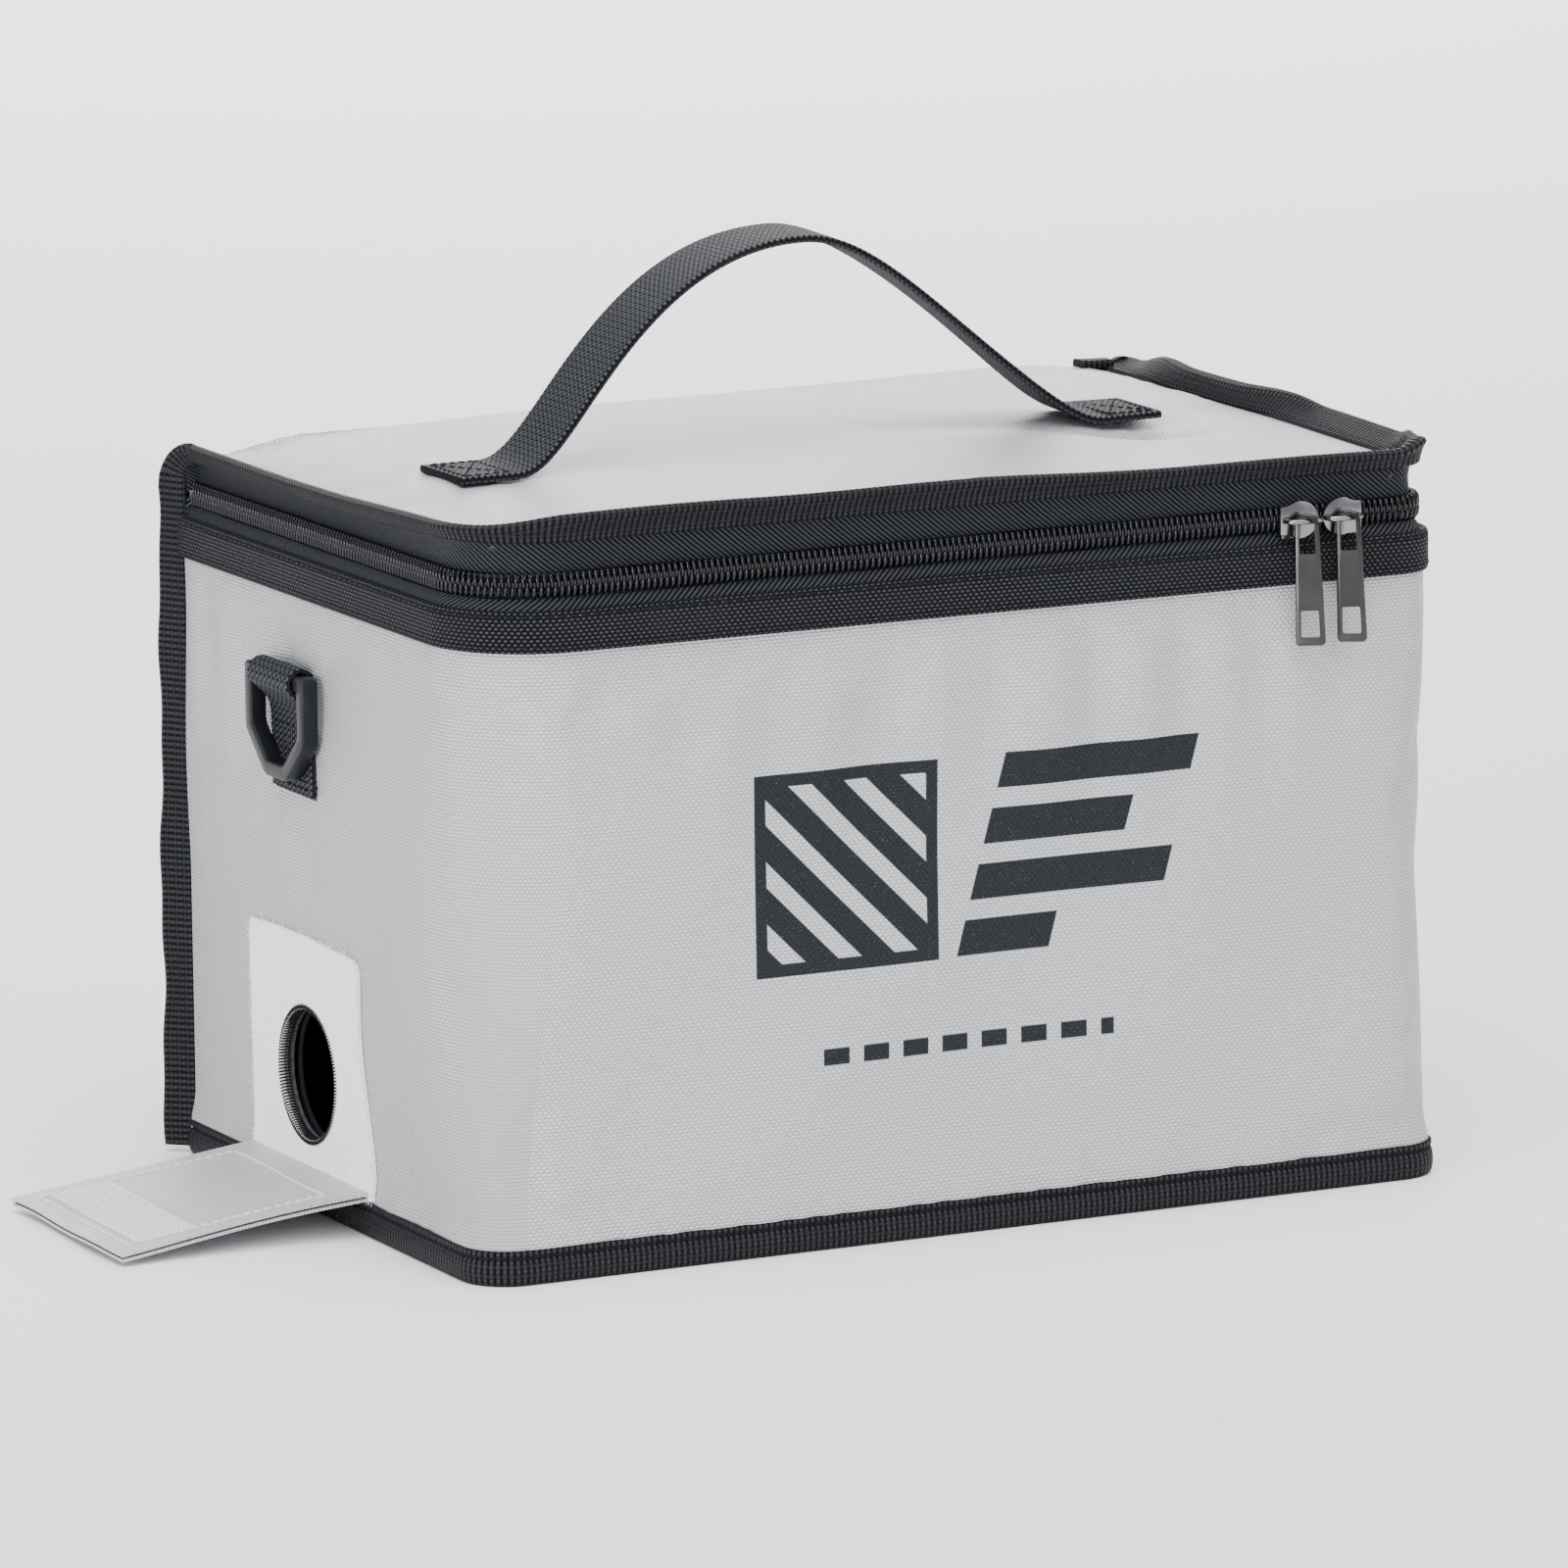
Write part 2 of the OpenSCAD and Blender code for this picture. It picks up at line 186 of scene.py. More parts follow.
class Value:
    """A shader number that takes part in Python sums by adding Math nodes."""

    def __init__(self, shader, socket):
        self.shader = shader
        self.socket = socket

    def math(self, operation, *others):
        inputs = dict(enumerate((self, *others)))
        node = self.shader.add("ShaderNodeMath", {"operation": operation}, inputs)
        return Value(self.shader, node.outputs[0])

    def __add__(self, other):
        return self.math("ADD", other)

    def __sub__(self, other):
        return self.math("SUBTRACT", other)

    def __mul__(self, other):
        return self.math("MULTIPLY", other)

    def __truediv__(self, other):
        return self.math("DIVIDE", other)

    def __rsub__(self, other):
        return self * -1 + other

    __radd__ = __add__
    __rmul__ = __mul__

    def wave(self):
        """0 at whole numbers and 1 half-way between them."""
        return (self.math("FRACT") * math.pi).math("SINE")

    def step(self, start, end):
        """Smooth rise from 0 at start to 1 at end."""
        node = self.shader.add(
            "ShaderNodeMapRange",
            {"interpolation_type": "SMOOTHSTEP"},
            {"Value": self, "From Min": start, "From Max": end},
        )
        return Value(self.shader, node.outputs["Result"])


class Shader:
    """One node material and the nodes that it is made of."""

    def __init__(self, name):
        self.material = bpy.data.materials.new(name)
        self.material.use_nodes = True
        self.tree = self.material.node_tree
        self.tree.nodes.clear()
        self.places = self.add("ShaderNodeTexCoord")

    def add(self, kind, settings=None, inputs=None):
        node = self.tree.nodes.new(kind)
        for key, value in (settings or {}).items():
            setattr(node, key, value)
        for key, value in (inputs or {}).items():
            if isinstance(value, Value):
                value = value.socket
            if isinstance(value, bpy.types.NodeSocket):
                self.tree.links.new(value, node.inputs[key])
            else:
                node.inputs[key].default_value = value
        return node

    def split(self, output):
        node = self.add(
            "ShaderNodeSeparateXYZ", inputs={0: self.places.outputs[output]}
        )
        return [Value(self, socket) for socket in node.outputs]

    def noise(self, scale, detail=3.0, output="Object"):
        node = self.add(
            "ShaderNodeTexNoise",
            inputs={
                "Vector": self.places.outputs[output],
                "Scale": scale,
                "Detail": detail,
            },
        )
        return Value(self, node.outputs["Fac"])

    def mix(self, share, first, second):
        """Colour between first and second; each is a colour or a socket."""
        node = self.add(
            "ShaderNodeMix",
            {"data_type": "RGBA"},
            {0: share, 6: padded_colour(first), 7: padded_colour(second)},
        )
        return node.outputs[2]

    def finish(self, colour, roughness, height=None, depth=0.1 * MM, **constants):
        """Connects a Principled surface, with height as its relief, depth metres deep."""
        inputs = {"Base Color": padded_colour(colour), "Roughness": roughness}
        inputs.update({key.replace("_", " "): value for key, value in constants.items()})
        if height is not None:
            bump = self.add(
                "ShaderNodeBump",
                inputs={"Height": height, "Distance": depth, "Strength": 1.0},
            )
            inputs["Normal"] = bump.outputs[0]
        surface = self.add("ShaderNodeBsdfPrincipled", inputs=inputs)
        self.add("ShaderNodeOutputMaterial", inputs={0: surface.outputs[0]})
        return self.material


def padded_colour(colour):
    if isinstance(colour, bpy.types.NodeSocket):
        return colour
    return (*tuple(colour)[:3], 1.0)


def scaled(colour, factor):
    return tuple(min(1.0, channel * factor) for channel in tuple(colour)[:3])


def woven(u, v, across, along, shift):
    """Rows of raised yarns; each row is moved sideways by shift of a yarn."""
    row = (v / along).math("FLOOR")
    return (u / across + row * shift).wave() * (v / along).wave()


def bar(x, z, left, right, bottom, top, soft):
    sides = x.step(left - soft, left + soft) * x.step(right + soft, right - soft)
    ends = z.step(bottom - soft, bottom + soft) * z.step(top + soft, top - soft)
    return sides * ends


def printed_mask(shader, weave):
    """The front's print: a panel of slanted stripes, four slanted bars and a dashed rule."""
    x, y, z = shader.split("Object")
    soft = 0.12 * MM
    left, right, bottom, top = -49 * MM, -8 * MM, 57 * MM, 98 * MM
    frame_w = 2.6 * MM
    panel = bar(x, z, left, right, bottom, top, soft)
    inner = bar(x, z, left + frame_w, right - frame_w, bottom + frame_w, top - frame_w, soft)
    stripes = ((x + z) / (12.6 * MM)).wave().step(0.78, 0.82)
    marks = panel - inner * stripes
    lean = x - (z - bottom) * 0.28
    for number, length in enumerate((44, 32, 44, 21)):
        high_z = top - number * 11.2 * MM
        marks = marks + bar(
            lean, z, -4 * MM, (length - 4) * MM, high_z - 7.2 * MM, high_z, soft
        )
    dashes = (x / (9 * MM)).wave().step(0.50, 0.56)
    rule = bar(x, z, -36 * MM, 31.5 * MM, 38 * MM, 41.4 * MM, soft)
    marks = marks + rule * dashes
    facing = y.step(FRONT_Y + 6 * MM, FRONT_Y + 5 * MM)
    specks = (shader.noise(2600, 2) + weave * 0.25).step(0.30, 0.42)
    return marks * facing * (0.86 + specks * 0.14)


def silver_material(name, printed=False):
    shader = Shader(name)
    u, v, _ = shader.split("UV")
    across, along = sizes().weave_across, sizes().weave_along
    yarns = woven(u, v, across, along, 0.5)
    fine = woven(u, v, across / 4, along / 2, 0.25)
    drift = shader.noise(38, 4)
    height = yarns * 0.75 + fine * 0.12 + shader.noise(900, 2) * 0.3
    silver = colours().silver
    # painted highlight and painted shade of the weave: raised yarns are coloured lighter and the gaps
    # between them darker
    colour = shader.mix(yarns, scaled(silver, 0.72), scaled(silver, 1.16))
    colour = shader.mix(drift.step(0.35, 0.7) * 0.14, colour, scaled(silver, 0.86))
    roughness = 0.36 - yarns * 0.06 + drift * 0.06
    metal = 0.24 + yarns * 0.16
    if printed:
        ink = printed_mask(shader, yarns)
        colour = shader.mix(ink, colour, colours().ink)
        roughness = roughness - ink * 0.06
        metal = metal * (1 - ink)
        height = height * (1 - ink * 0.25)
    depth = (0.36 if printed else 0.20) * MM
    return shader.finish(
        colour, roughness, height, depth, Metallic=metal, Specular_IOR_Level=0.16
    )


def webbing_material(name, across=1.25 * MM, along=0.78 * MM, ribs=0.0, shade=1.0):
    """Black webbing: beads of yarn in rows, with ribs from 0, beads only, to 1."""
    shader = Shader(name)
    u, v, _ = shader.split("UV")
    beads = woven(u, v, across, along, 0.5)
    rib = (u / across).wave()
    height = beads * (1 - ribs) + rib * ribs
    fibre = shader.noise(3200, 2)
    drift = shader.noise(60, 3)
    lit = (height * 0.7 + fibre * 0.3).step(0.34, 0.86)
    base = scaled(colours().webbing, shade)
    colour = shader.mix(lit, scaled(base, 0.08), scaled(base, 7.0))
    colour = shader.mix(drift.step(0.4, 0.75) * 0.25, colour, scaled(base, 1.8))
    return shader.finish(
        colour,
        0.62 - lit * 0.14,
        height + fibre * 0.25,
        0.5 * MM,
        Specular_IOR_Level=0.12,
    )


def tape_material(name, slant):
    """Zip tape: long diagonal ridges that lean by slant."""
    shader = Shader(name)
    u, v, _ = shader.split("UV")
    ridge = (u / (1.3 * MM) + v * slant / (1.3 * MM)).wave()
    yarn = (v / (0.42 * MM)).wave()
    height = ridge * 0.8 + yarn * 0.2
    lit = (height + shader.noise(2400, 2) * 0.25).step(0.45, 1.0)
    tape = colours().tape
    colour = shader.mix(lit, scaled(tape, 0.04), scaled(tape, 7.5))
    return shader.finish(
        colour, 0.55 - lit * 0.1, height, 0.5 * MM, Specular_IOR_Level=0.13
    )


def nylon_material(name):
    shader = Shader(name)
    wear = shader.noise(700, 3)
    nylon = colours().nylon
    colour = shader.mix(wear, scaled(nylon, 0.8), scaled(nylon, 1.7))
    return shader.finish(
        colour, 0.10 + wear * 0.06, wear, 0.01 * MM, Specular_IOR_Level=0.34
    )


def metal_material(name, shade=1.0):
    """Dull plated zinc, brushed along its length, brighter where it rubs."""
    shader = Shader(name)
    x, y, z = shader.split("Object")
    brushed = shader.add(
        "ShaderNodeTexNoise",
        inputs={
            "Vector": shader.add(
                "ShaderNodeCombineXYZ", inputs={0: x * 9000, 1: y * 9000, 2: z * 500}
            ).outputs[0],
            "Scale": 1.0,
            "Detail": 3.0,
        },
    )
    brushed = Value(shader, brushed.outputs["Fac"])
    worn = shader.noise(160, 3).step(0.40, 0.72)
    metal = scaled(colours().metal, shade)
    colour = shader.mix(worn, scaled(metal, 0.92), scaled(metal, 1.10))
    return shader.finish(
        colour, 0.16 + brushed * 0.12 + worn * 0.03, brushed, 0.008 * MM, Metallic=1.0
    )


def plastic_material(name):
    shader = Shader(name)
    grain = shader.noise(1500, 4)
    rubbed = shader.noise(90, 3).step(0.5, 0.75)
    plastic = colours().plastic
    colour = shader.mix(rubbed * 0.5, plastic, scaled(plastic, 2.2))
    return shader.finish(
        colour, 0.28 + grain * 0.10 + rubbed * 0.06, grain, 0.03 * MM,
        Specular_IOR_Level=0.2,
    )


def pile_material(name):
    """White brushed loops."""
    shader = Shader(name)
    tufts = shader.noise(1500, 5)
    clumps = shader.noise(260, 3)
    pile = colours().pile
    colour = shader.mix(tufts.step(0.3, 0.7), scaled(pile, 0.82), scaled(pile, 1.12))
    colour = shader.mix(clumps.step(0.5, 0.8) * 0.25, colour, scaled(pile, 0.88))
    return shader.finish(
        colour, 0.9, tufts * 0.7 + clumps * 0.5, 0.35 * MM, Sheen_Weight=0.35
    )


def plain_weave_material(name, colour, pitch, shine):
    shader = Shader(name)
    u, v, _ = shader.split("UV")
    weave = woven(u, v, pitch, pitch, 0.5)
    fibre = shader.noise(1800, 3)
    # painted highlight and painted shade: raised threads are coloured lighter and the hollows between
    # them darker, with a random fibre tone on top
    tint = shader.mix(
        weave * 0.6 + fibre * 0.4, scaled(colour, 0.6), scaled(colour, 1.7)
    )
    return shader.finish(
        tint, shine + weave * 0.1, weave + fibre * 0.3, 0.1 * MM, Specular_IOR_Level=0.2
    )


def felt_material(name):
    shader = Shader(name)
    fibre = shader.noise(1300, 6)
    felt = colours().felt
    colour = shader.mix(fibre.step(0.3, 0.7), scaled(felt, 0.6), scaled(felt, 1.6))
    return shader.finish(colour, 0.95, fibre, 0.4 * MM)


def thread_material(name, colour):
    """Twisted thread: fine slanted plies."""
    shader = Shader(name)
    x, y, z = shader.split("Object")
    ply = ((x + y + z) / (0.35 * MM)).wave()
    # painted highlight and painted shade of the twist: ply crowns are coloured lighter and the grooves
    # between them darker
    tint = shader.mix(ply, scaled(colour, 0.75), scaled(colour, 1.6))
    return shader.finish(
        tint, 0.6 + ply * 0.1, ply, 0.05 * MM, Specular_IOR_Level=0.1
    )


MATERIALS = {}


def material(name):
    """The bag's finish of that name, made once."""
    makers = {
        "printed_silver": lambda n: silver_material(n, printed=True),
        "silver": silver_material,
        "webbing": webbing_material,
        "edging": lambda n: webbing_material(n, 1.3 * MM, 0.95 * MM, 0.65, 0.5),
        "strap": lambda n: webbing_material(n, 1.35 * MM, 1.05 * MM, 0.3, 1.4),
        "upper_tape": lambda n: tape_material(n, 1.2),
        "lower_tape": lambda n: tape_material(n, -1.2),
        "nylon": nylon_material,
        "metal": metal_material,
        "dark_metal": lambda n: metal_material(n, 0.24),
        "plastic": plastic_material,
        "pile": pile_material,
        "hooks": lambda n: plain_weave_material(n, (0.7, 0.71, 0.72), 1.0 * MM, 0.4),
        "lining": lambda n: plain_weave_material(n, colours().lining, 0.6 * MM, 0.6),
        "felt": felt_material,
        "black_thread": lambda n: thread_material(n, scaled(colours().webbing, 0.9)),
        "pale_thread": lambda n: thread_material(n, colours().thread),
    }
    if name not in MATERIALS:
        MATERIALS[name] = makers[name](name)
    return MATERIALS[name]


# ---------- making pieces ----------


def deselect():
    if bpy.context.object and bpy.context.object.mode != "OBJECT":
        bpy.ops.object.mode_set(mode="OBJECT")
    bpy.ops.object.select_all(action="DESELECT")


def take(piece):
    """Makes piece the only one selected, and the active one."""
    deselect()
    piece.select_set(True)
    bpy.context.view_layer.objects.active = piece
    return piece


def place(piece):
    """Puts the piece's place, turn and scale into its mesh."""
    take(piece)
    bpy.ops.object.transform_apply(location=True, rotation=True, scale=True)
    return piece


def apply_modifiers(piece):
    take(piece)
    for modifier in list(piece.modifiers):
        bpy.ops.object.modifier_apply(modifier=modifier.name)
    return piece


def weld(piece, distance, fill=False, outward=True):
    """Joins points nearer than distance; can also fill holes and turn the faces out."""
    shape = bmesh.new()
    shape.from_mesh(piece.data)
    bmesh.ops.remove_doubles(shape, verts=shape.verts, dist=distance)
    if fill:
        bmesh.ops.holes_fill(shape, edges=shape.edges, sides=400)
    if outward:
        bmesh.ops.recalc_face_normals(shape, faces=shape.faces)
    shape.to_mesh(piece.data)
    shape.free()
    return piece


def faces_out(piece):
    take(piece)
    bpy.ops.object.mode_set(mode="EDIT")
    bpy.ops.mesh.select_all(action="SELECT")
    bpy.ops.mesh.normals_make_consistent(inside=False)
    bpy.ops.object.mode_set(mode="OBJECT")
    return piece


def bevelled(piece, width, segments, angle):
    """Rounds the edges that turn by more than angle, in degrees."""
    rounding = piece.modifiers.new("Edges", "BEVEL")
    rounding.width = width
    rounding.segments = segments
    rounding.limit_method = "ANGLE"
    rounding.angle_limit = math.radians(angle)
    return apply_modifiers(piece)


def dress(piece, finish, body=None, replaces=(), smooth=35):
    """Gives a piece its material, its body and the nodes it stands for."""
    piece.data.materials.clear()
    piece.data.materials.append(material(finish))
    take(piece)
    bpy.ops.object.shade_smooth_by_angle(angle=math.radians(smooth))
    if body:
        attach(piece, body)
    if replaces:
        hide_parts(*replaces)
    return piece


def linked(name, data):
    """A new object with that data, in the scene."""
    item = bpy.data.objects.new(name, data)
    bpy.context.scene.collection.objects.link(item)
    return item


def piece_from(name, points, faces, uvs=None):
    """A mesh object from points and faces, with one UV point for each point."""
    mesh = bpy.data.meshes.new(name)
    mesh.from_pydata([tuple(p) for p in points], [], faces)
    if uvs is not None:
        layer = mesh.uv_layers.new(name="UVMap")
        corners = np.empty(len(mesh.loops), np.int32)
        mesh.loops.foreach_get("vertex_index", corners)
        layer.data.foreach_set(
            "uv", np.asarray(uvs, np.float32)[corners].reshape(-1)
        )
    mesh.update()
    return linked(name, mesh)


def grid_faces(rows, columns, start=0, flip=False):
    faces = []
    for j in range(rows - 1):
        for i in range(columns - 1):
            a = start + j * columns + i
            quad = (a, a + 1, a + columns + 1, a + columns)
            faces.append(quad[::-1] if flip else quad)
    return faces


def grid_normals(grid):
    """Unit normals of a grid of points; rows go up and columns go along."""
    along = np.gradient(grid, axis=1)
    up = np.gradient(grid, axis=0)
    normal = np.cross(along, up)
    return normal / np.maximum(np.linalg.norm(normal, axis=2, keepdims=True), 1e-12)


def layer(name, grid, uvs, outset, thickness):
    """A closed sheet: the grid moved out by outset, and thickness deep below that."""
    normal = grid_normals(grid)
    rows, columns = grid.shape[:2]
    outer = grid + normal * outset
    inner = outer - normal * thickness
    count = rows * columns
    faces = grid_faces(rows, columns) + grid_faces(rows, columns, count, flip=True)
    rim = [i for i in range(columns)]
    rim += [j * columns + columns - 1 for j in range(1, rows)]
    rim += [(rows - 1) * columns + i for i in range(columns - 2, -1, -1)]
    rim += [j * columns for j in range(rows - 2, 0, -1)]
    for a, b in zip(rim, rim[1:] + rim[:1]):
        faces.append((b, a, a + count, b + count))
    points = np.concatenate([outer.reshape(-1, 3), inner.reshape(-1, 3)])
    flat = uvs.reshape(-1, 2)
    return piece_from(name, points, faces, np.concatenate([flat, flat]))


def directions(line):
    """Unit vectors along a line of points."""
    way = np.gradient(line, axis=0)
    return way / np.linalg.norm(way, axis=1, keepdims=True)


def lengths(points):
    """Distance along a line of points, from its start to each point."""
    steps = np.linalg.norm(np.diff(points, axis=0), axis=1)
    return np.concatenate([[0.0], np.cumsum(steps)])


def swept(name, rings, closed_path=False):
    """A solid from rings of points, one ring for each place along a path."""
    rings = np.asarray(rings, float)
    places, around = rings.shape[:2]
    loop = np.concatenate([rings, rings[:, :1]], axis=1)
    section = lengths(loop[0])
    path = lengths(rings.mean(axis=1))
    points = loop.reshape(-1, 3)
    uvs = np.stack(np.broadcast_arrays(path[:, None], section[None, :]), axis=2)
    faces = grid_faces(places, around + 1)
    if not closed_path:
        faces.append(tuple(range(around)))
        faces.append(tuple((places - 1) * (around + 1) + i for i in range(around)))
    return weld(piece_from(name, points, faces, uvs.reshape(-1, 2)), 0.0001 * MM)


def in_metres(points):
    """The same pairs, given in millimetres."""
    return [(a * MM, b * MM) for a, b in points]


def at_height(points, height):
    """Points of the plan, or directions in it, with a height added."""
    return np.column_stack([points, np.full(len(points), height)])


def rail(inset, radius=LEFT_R, back_end=BACK_Y):
    """Places and outward directions round the walls in plan; radius is the left corner's."""
    x, y = HALF_W - inset, FRONT_Y + inset
    left = max(radius, inset + 0.5 * MM)
    right = max(min(radius, RIGHT_R), inset + 0.5 * MM)
    left_x, left_y = -HALF_W + left, FRONT_Y + left
    right_x, right_y = HALF_W - right, FRONT_Y + right
    turn = np.linspace(0, math.pi / 2, ARC_N + 1)[:-1]
    points = [(-x, v) for v in np.linspace(back_end, left_y, SIDE_N + 1)[:-1]]
    r = left - inset
    points += [(left_x - r * math.cos(a), left_y - r * math.sin(a)) for a in turn]
    points += [(v, y) for v in np.linspace(left_x, right_x, FRONT_N + 1)[:-1]]
    r = right - inset
    points += [(right_x + r * math.sin(a), right_y - r * math.cos(a)) for a in turn]
    points += [(x, v) for v in np.linspace(right_y, back_end, SIDE_N + 1)]
    out = [(-1.0, 0.0)] * SIDE_N
    out += [(-math.cos(a), -math.sin(a)) for a in turn]
    out += [(0.0, -1.0)] * FRONT_N
    out += [(math.sin(a), -math.cos(a)) for a in turn]
    out += [(1.0, 0.0)] * (SIDE_N + 1)
    return np.array(points), np.array(out)


def band(name, section, back_end, turned_out=False):
    """A strip swept round the walls; section lists (inset, height) points of its outline.

    turned_out bends its two ends outwards along the back, to the back corners.
    """
    rings = []
    first = min(inset for inset, _ in section)
    for inset, height in section:
        points, _ = rail(inset, back_end=back_end)
        if turned_out:
            end_y = back_end + 0.3 * MM + (inset - first) * 0.6
            end_x = HALF_W - 0.4 * MM
            points = np.vstack([[-end_x, end_y], points, [end_x, end_y]])
        rings.append(at_height(points, height))
    return swept(name, np.stack(rings, axis=1))


def rounded(points, radius, steps=3):
    """A closed outline with its corners rounded; points are (a, b) pairs."""
    result = []
    count = len(points)
    for i, corner in enumerate(points):
        corner = np.array(corner, float)
        before = np.array(points[i - 1], float) - corner
        after = np.array(points[(i + 1) % count], float) - corner
        reach = min(radius, np.linalg.norm(before) * 0.45, np.linalg.norm(after) * 0.45)
        start = corner + before / np.linalg.norm(before) * reach
        end = corner + after / np.linalg.norm(after) * reach
        for t in np.linspace(0, 1, steps + 1):
            result.append((1 - t) ** 2 * start + 2 * t * (1 - t) * corner + t * t * end)
    return [tuple(p) for p in result]


def smooth_line(points, count):
    """count places spaced evenly on a smooth curve through the points."""
    points = np.array(points, float)
    ends = np.vstack([2 * points[0] - points[1], points, 2 * points[-1] - points[-2]])
    fine = []
    for i in range(1, len(ends) - 2):
        p, q, r, s = ends[i - 1 : i + 3]
        for t in np.linspace(0, 1, 12, endpoint=False):
            square, cube = 2 * p - 5 * q + 4 * r - s, 3 * q - p - 3 * r + s
            fine.append(0.5 * (2 * q + (r - p) * t + square * t**2 + cube * t**3))
    fine = np.array(fine + [points[-1]])
    far = lengths(fine)
    at = np.linspace(0, far[-1], count)
    return np.stack([np.interp(at, far, fine[:, k]) for k in range(fine.shape[1])], 1)


def strap(name, centre, side, width, thickness, edge=0.35):
    """Flat webbing along centre, with side as the direction of its width."""
    centre = np.asarray(centre, float)
    side = np.asarray(side, float)
    up = np.cross(side, directions(centre))
    half, deep = width / 2, thickness / 2
    outline = rounded(
        [(-half, -deep), (half, -deep), (half, deep), (-half, deep)], thickness * edge
    )
    columns = []
    for a, b in widened(outline, 8):
        columns.append(centre + a * side + b * up)
    return swept(name, np.stack(columns, axis=1))


def widened(outline, steps):
    """The outline with its long edges cut into steps, so that it can bend."""
    result = []
    count = len(outline)
    longest = max(math.dist(outline[i - 1], outline[i]) for i in range(count))
    for i in range(count):
        start, end = np.array(outline[i]), np.array(outline[(i + 1) % count])
        cuts = steps if math.dist(start, end) > 0.5 * longest else 1
        result += [tuple(start + (end - start) * k / cuts) for k in range(cuts)]
    return result


def plate(name, outline, depth, edge=0.0, steps=2):
    """A flat plate: a filled circle moved to the outline, extruded, its edges rounded."""
    deselect()
    bpy.ops.mesh.primitive_circle_add(vertices=len(outline), fill_type="NGON")
    piece = bpy.context.object
    piece.name = name
    for vertex, (a, b) in zip(piece.data.vertices, outline):
        vertex.co = (a, b, -depth / 2)
    bpy.ops.object.mode_set(mode="EDIT")
    bpy.ops.mesh.select_all(action="SELECT")
    bpy.ops.mesh.extrude_region_move(TRANSFORM_OT_translate={"value": (0, 0, depth)})
    bpy.ops.object.mode_set(mode="OBJECT")
    faces_out(piece)
    return bevelled(piece, edge, steps, 40) if edge else piece


def upright(piece, x, y, scale=(1, 1, 1)):
    """Stands a plate that was drawn flat up at depth y, with its face to the front."""
    piece.scale = scale
    piece.rotation_euler = (math.pi / 2, 0, 0)
    piece.location = (x, y, 0)
    return place(piece)


def cut(piece, tool):
    """Cuts tool out of piece, and removes tool."""
    hole = piece.modifiers.new("Hole", "BOOLEAN")
    hole.operation = "DIFFERENCE"
    hole.solver = "EXACT"
    hole.object = tool
    apply_modifiers(piece)
    bpy.data.objects.remove(tool)
    return piece


def wire(name, points, radius, sides=3):
    """A round wire through the points: a curve with a bevel, made a mesh."""
    curve = bpy.data.curves.new(name, "CURVE")
    curve.dimensions = "3D"
    curve.bevel_depth = radius
    curve.bevel_resolution = sides
    curve.use_fill_caps = True
    line = curve.splines.new("POLY")
    line.points.add(len(points) - 1)
    for target, point in zip(line.points, points):
        target.co = (*point, 1.0)
    take(linked(name, curve))
    bpy.ops.object.convert(target="MESH")
    return bpy.context.object


def joined(name, pieces):
    """Joins pieces into one object."""
    deselect()
    for piece in pieces:
        piece.select_set(True)
    bpy.context.view_layer.objects.active = pieces[0]
    if len(pieces) > 1:
        bpy.ops.object.join()
    bpy.context.object.name = name
    return bpy.context.object


def repeated(name, model, frames):
    """Copies of a small model at each 4 x 4 frame, as one mesh; the model is removed."""
    mesh = model.data
    local = np.array([vertex.co[:] + (1.0,) for vertex in mesh.vertices])
    faces = [tuple(polygon.vertices) for polygon in mesh.polygons]
    points, all_faces = [], []
    for number, matrix in enumerate(frames):
        points.append((local @ np.array(matrix).T)[:, :3])
        first = number * len(local)
        all_faces += [tuple(first + i for i in face) for face in faces]
    bpy.data.objects.remove(model)
    return piece_from(name, np.concatenate(points), all_faces)


def frame_from(origin, x_axis, y_axis, z_axis):
    """4 x 4 frame at origin with those axes."""
    turn = Matrix((x_axis, y_axis, z_axis)).transposed().to_4x4()
    return Matrix.Translation(Vector(origin)) @ turn


def frame_at(origin, along, up):
    """4 x 4 frame at origin, X along the line and Z as near to up as it can be."""
    along = Vector(along).normalized()
    across = Vector(up).cross(along).normalized()
    return frame_from(origin, along, across, along.cross(across))


def stitch_model(length, thread):
    """One stitch: a short thread that dips into the cloth at both ends."""
    deselect()
    bpy.ops.mesh.primitive_cylinder_add(
        vertices=6, radius=thread / 2, depth=length, end_fill_type="NGON"
    )
    piece = bpy.context.object
    piece.rotation_euler = (0, math.pi / 2, 0)
    place(piece)
    bpy.ops.object.mode_set(mode="EDIT")
    bpy.ops.mesh.select_all(action="SELECT")
    bpy.ops.mesh.bisect(plane_co=(-length / 4, 0, 0), plane_no=(1, 0, 0))
    bpy.ops.mesh.select_all(action="SELECT")
    bpy.ops.mesh.bisect(plane_co=(length / 4, 0, 0), plane_no=(1, 0, 0))
    bpy.ops.object.mode_set(mode="OBJECT")
    for vertex in piece.data.vertices:
        if abs(vertex.co.x) > length * 0.4:
            vertex.co.z -= thread * 0.55
            vertex.co.y *= 0.7
    return piece


def stitches(name, points, out, finish, body, share=0.78, pitch=None):
    """A run of stitches along a line of points, standing on the side that out gives."""
    points = np.asarray(points, float)
    out = np.broadcast_to(np.asarray(out, float), points.shape)
    pitch = pitch or sizes().stitch_pitch
    thread = sizes().thread_d
    far = lengths(points)
    count = max(1, int(far[-1] / pitch))
    frames = []
    for number in range(count):
        at = (number + 0.5) * far[-1] / count
        spots = [at - pitch * 0.3, at, at + pitch * 0.3]
        before, middle, after = [
            np.array([np.interp(s, far, points[:, k]) for k in range(3)]) for s in spots
        ]
        normal = [np.interp(at, far, out[:, k]) for k in range(3)]
        frames.append(frame_at(middle, after - before, normal))
    piece = repeated(name, stitch_model(pitch * share, thread), frames)
    return dress(piece, finish, body)


# ---------- cloth ----------

CLOTH_FRAMES = 22


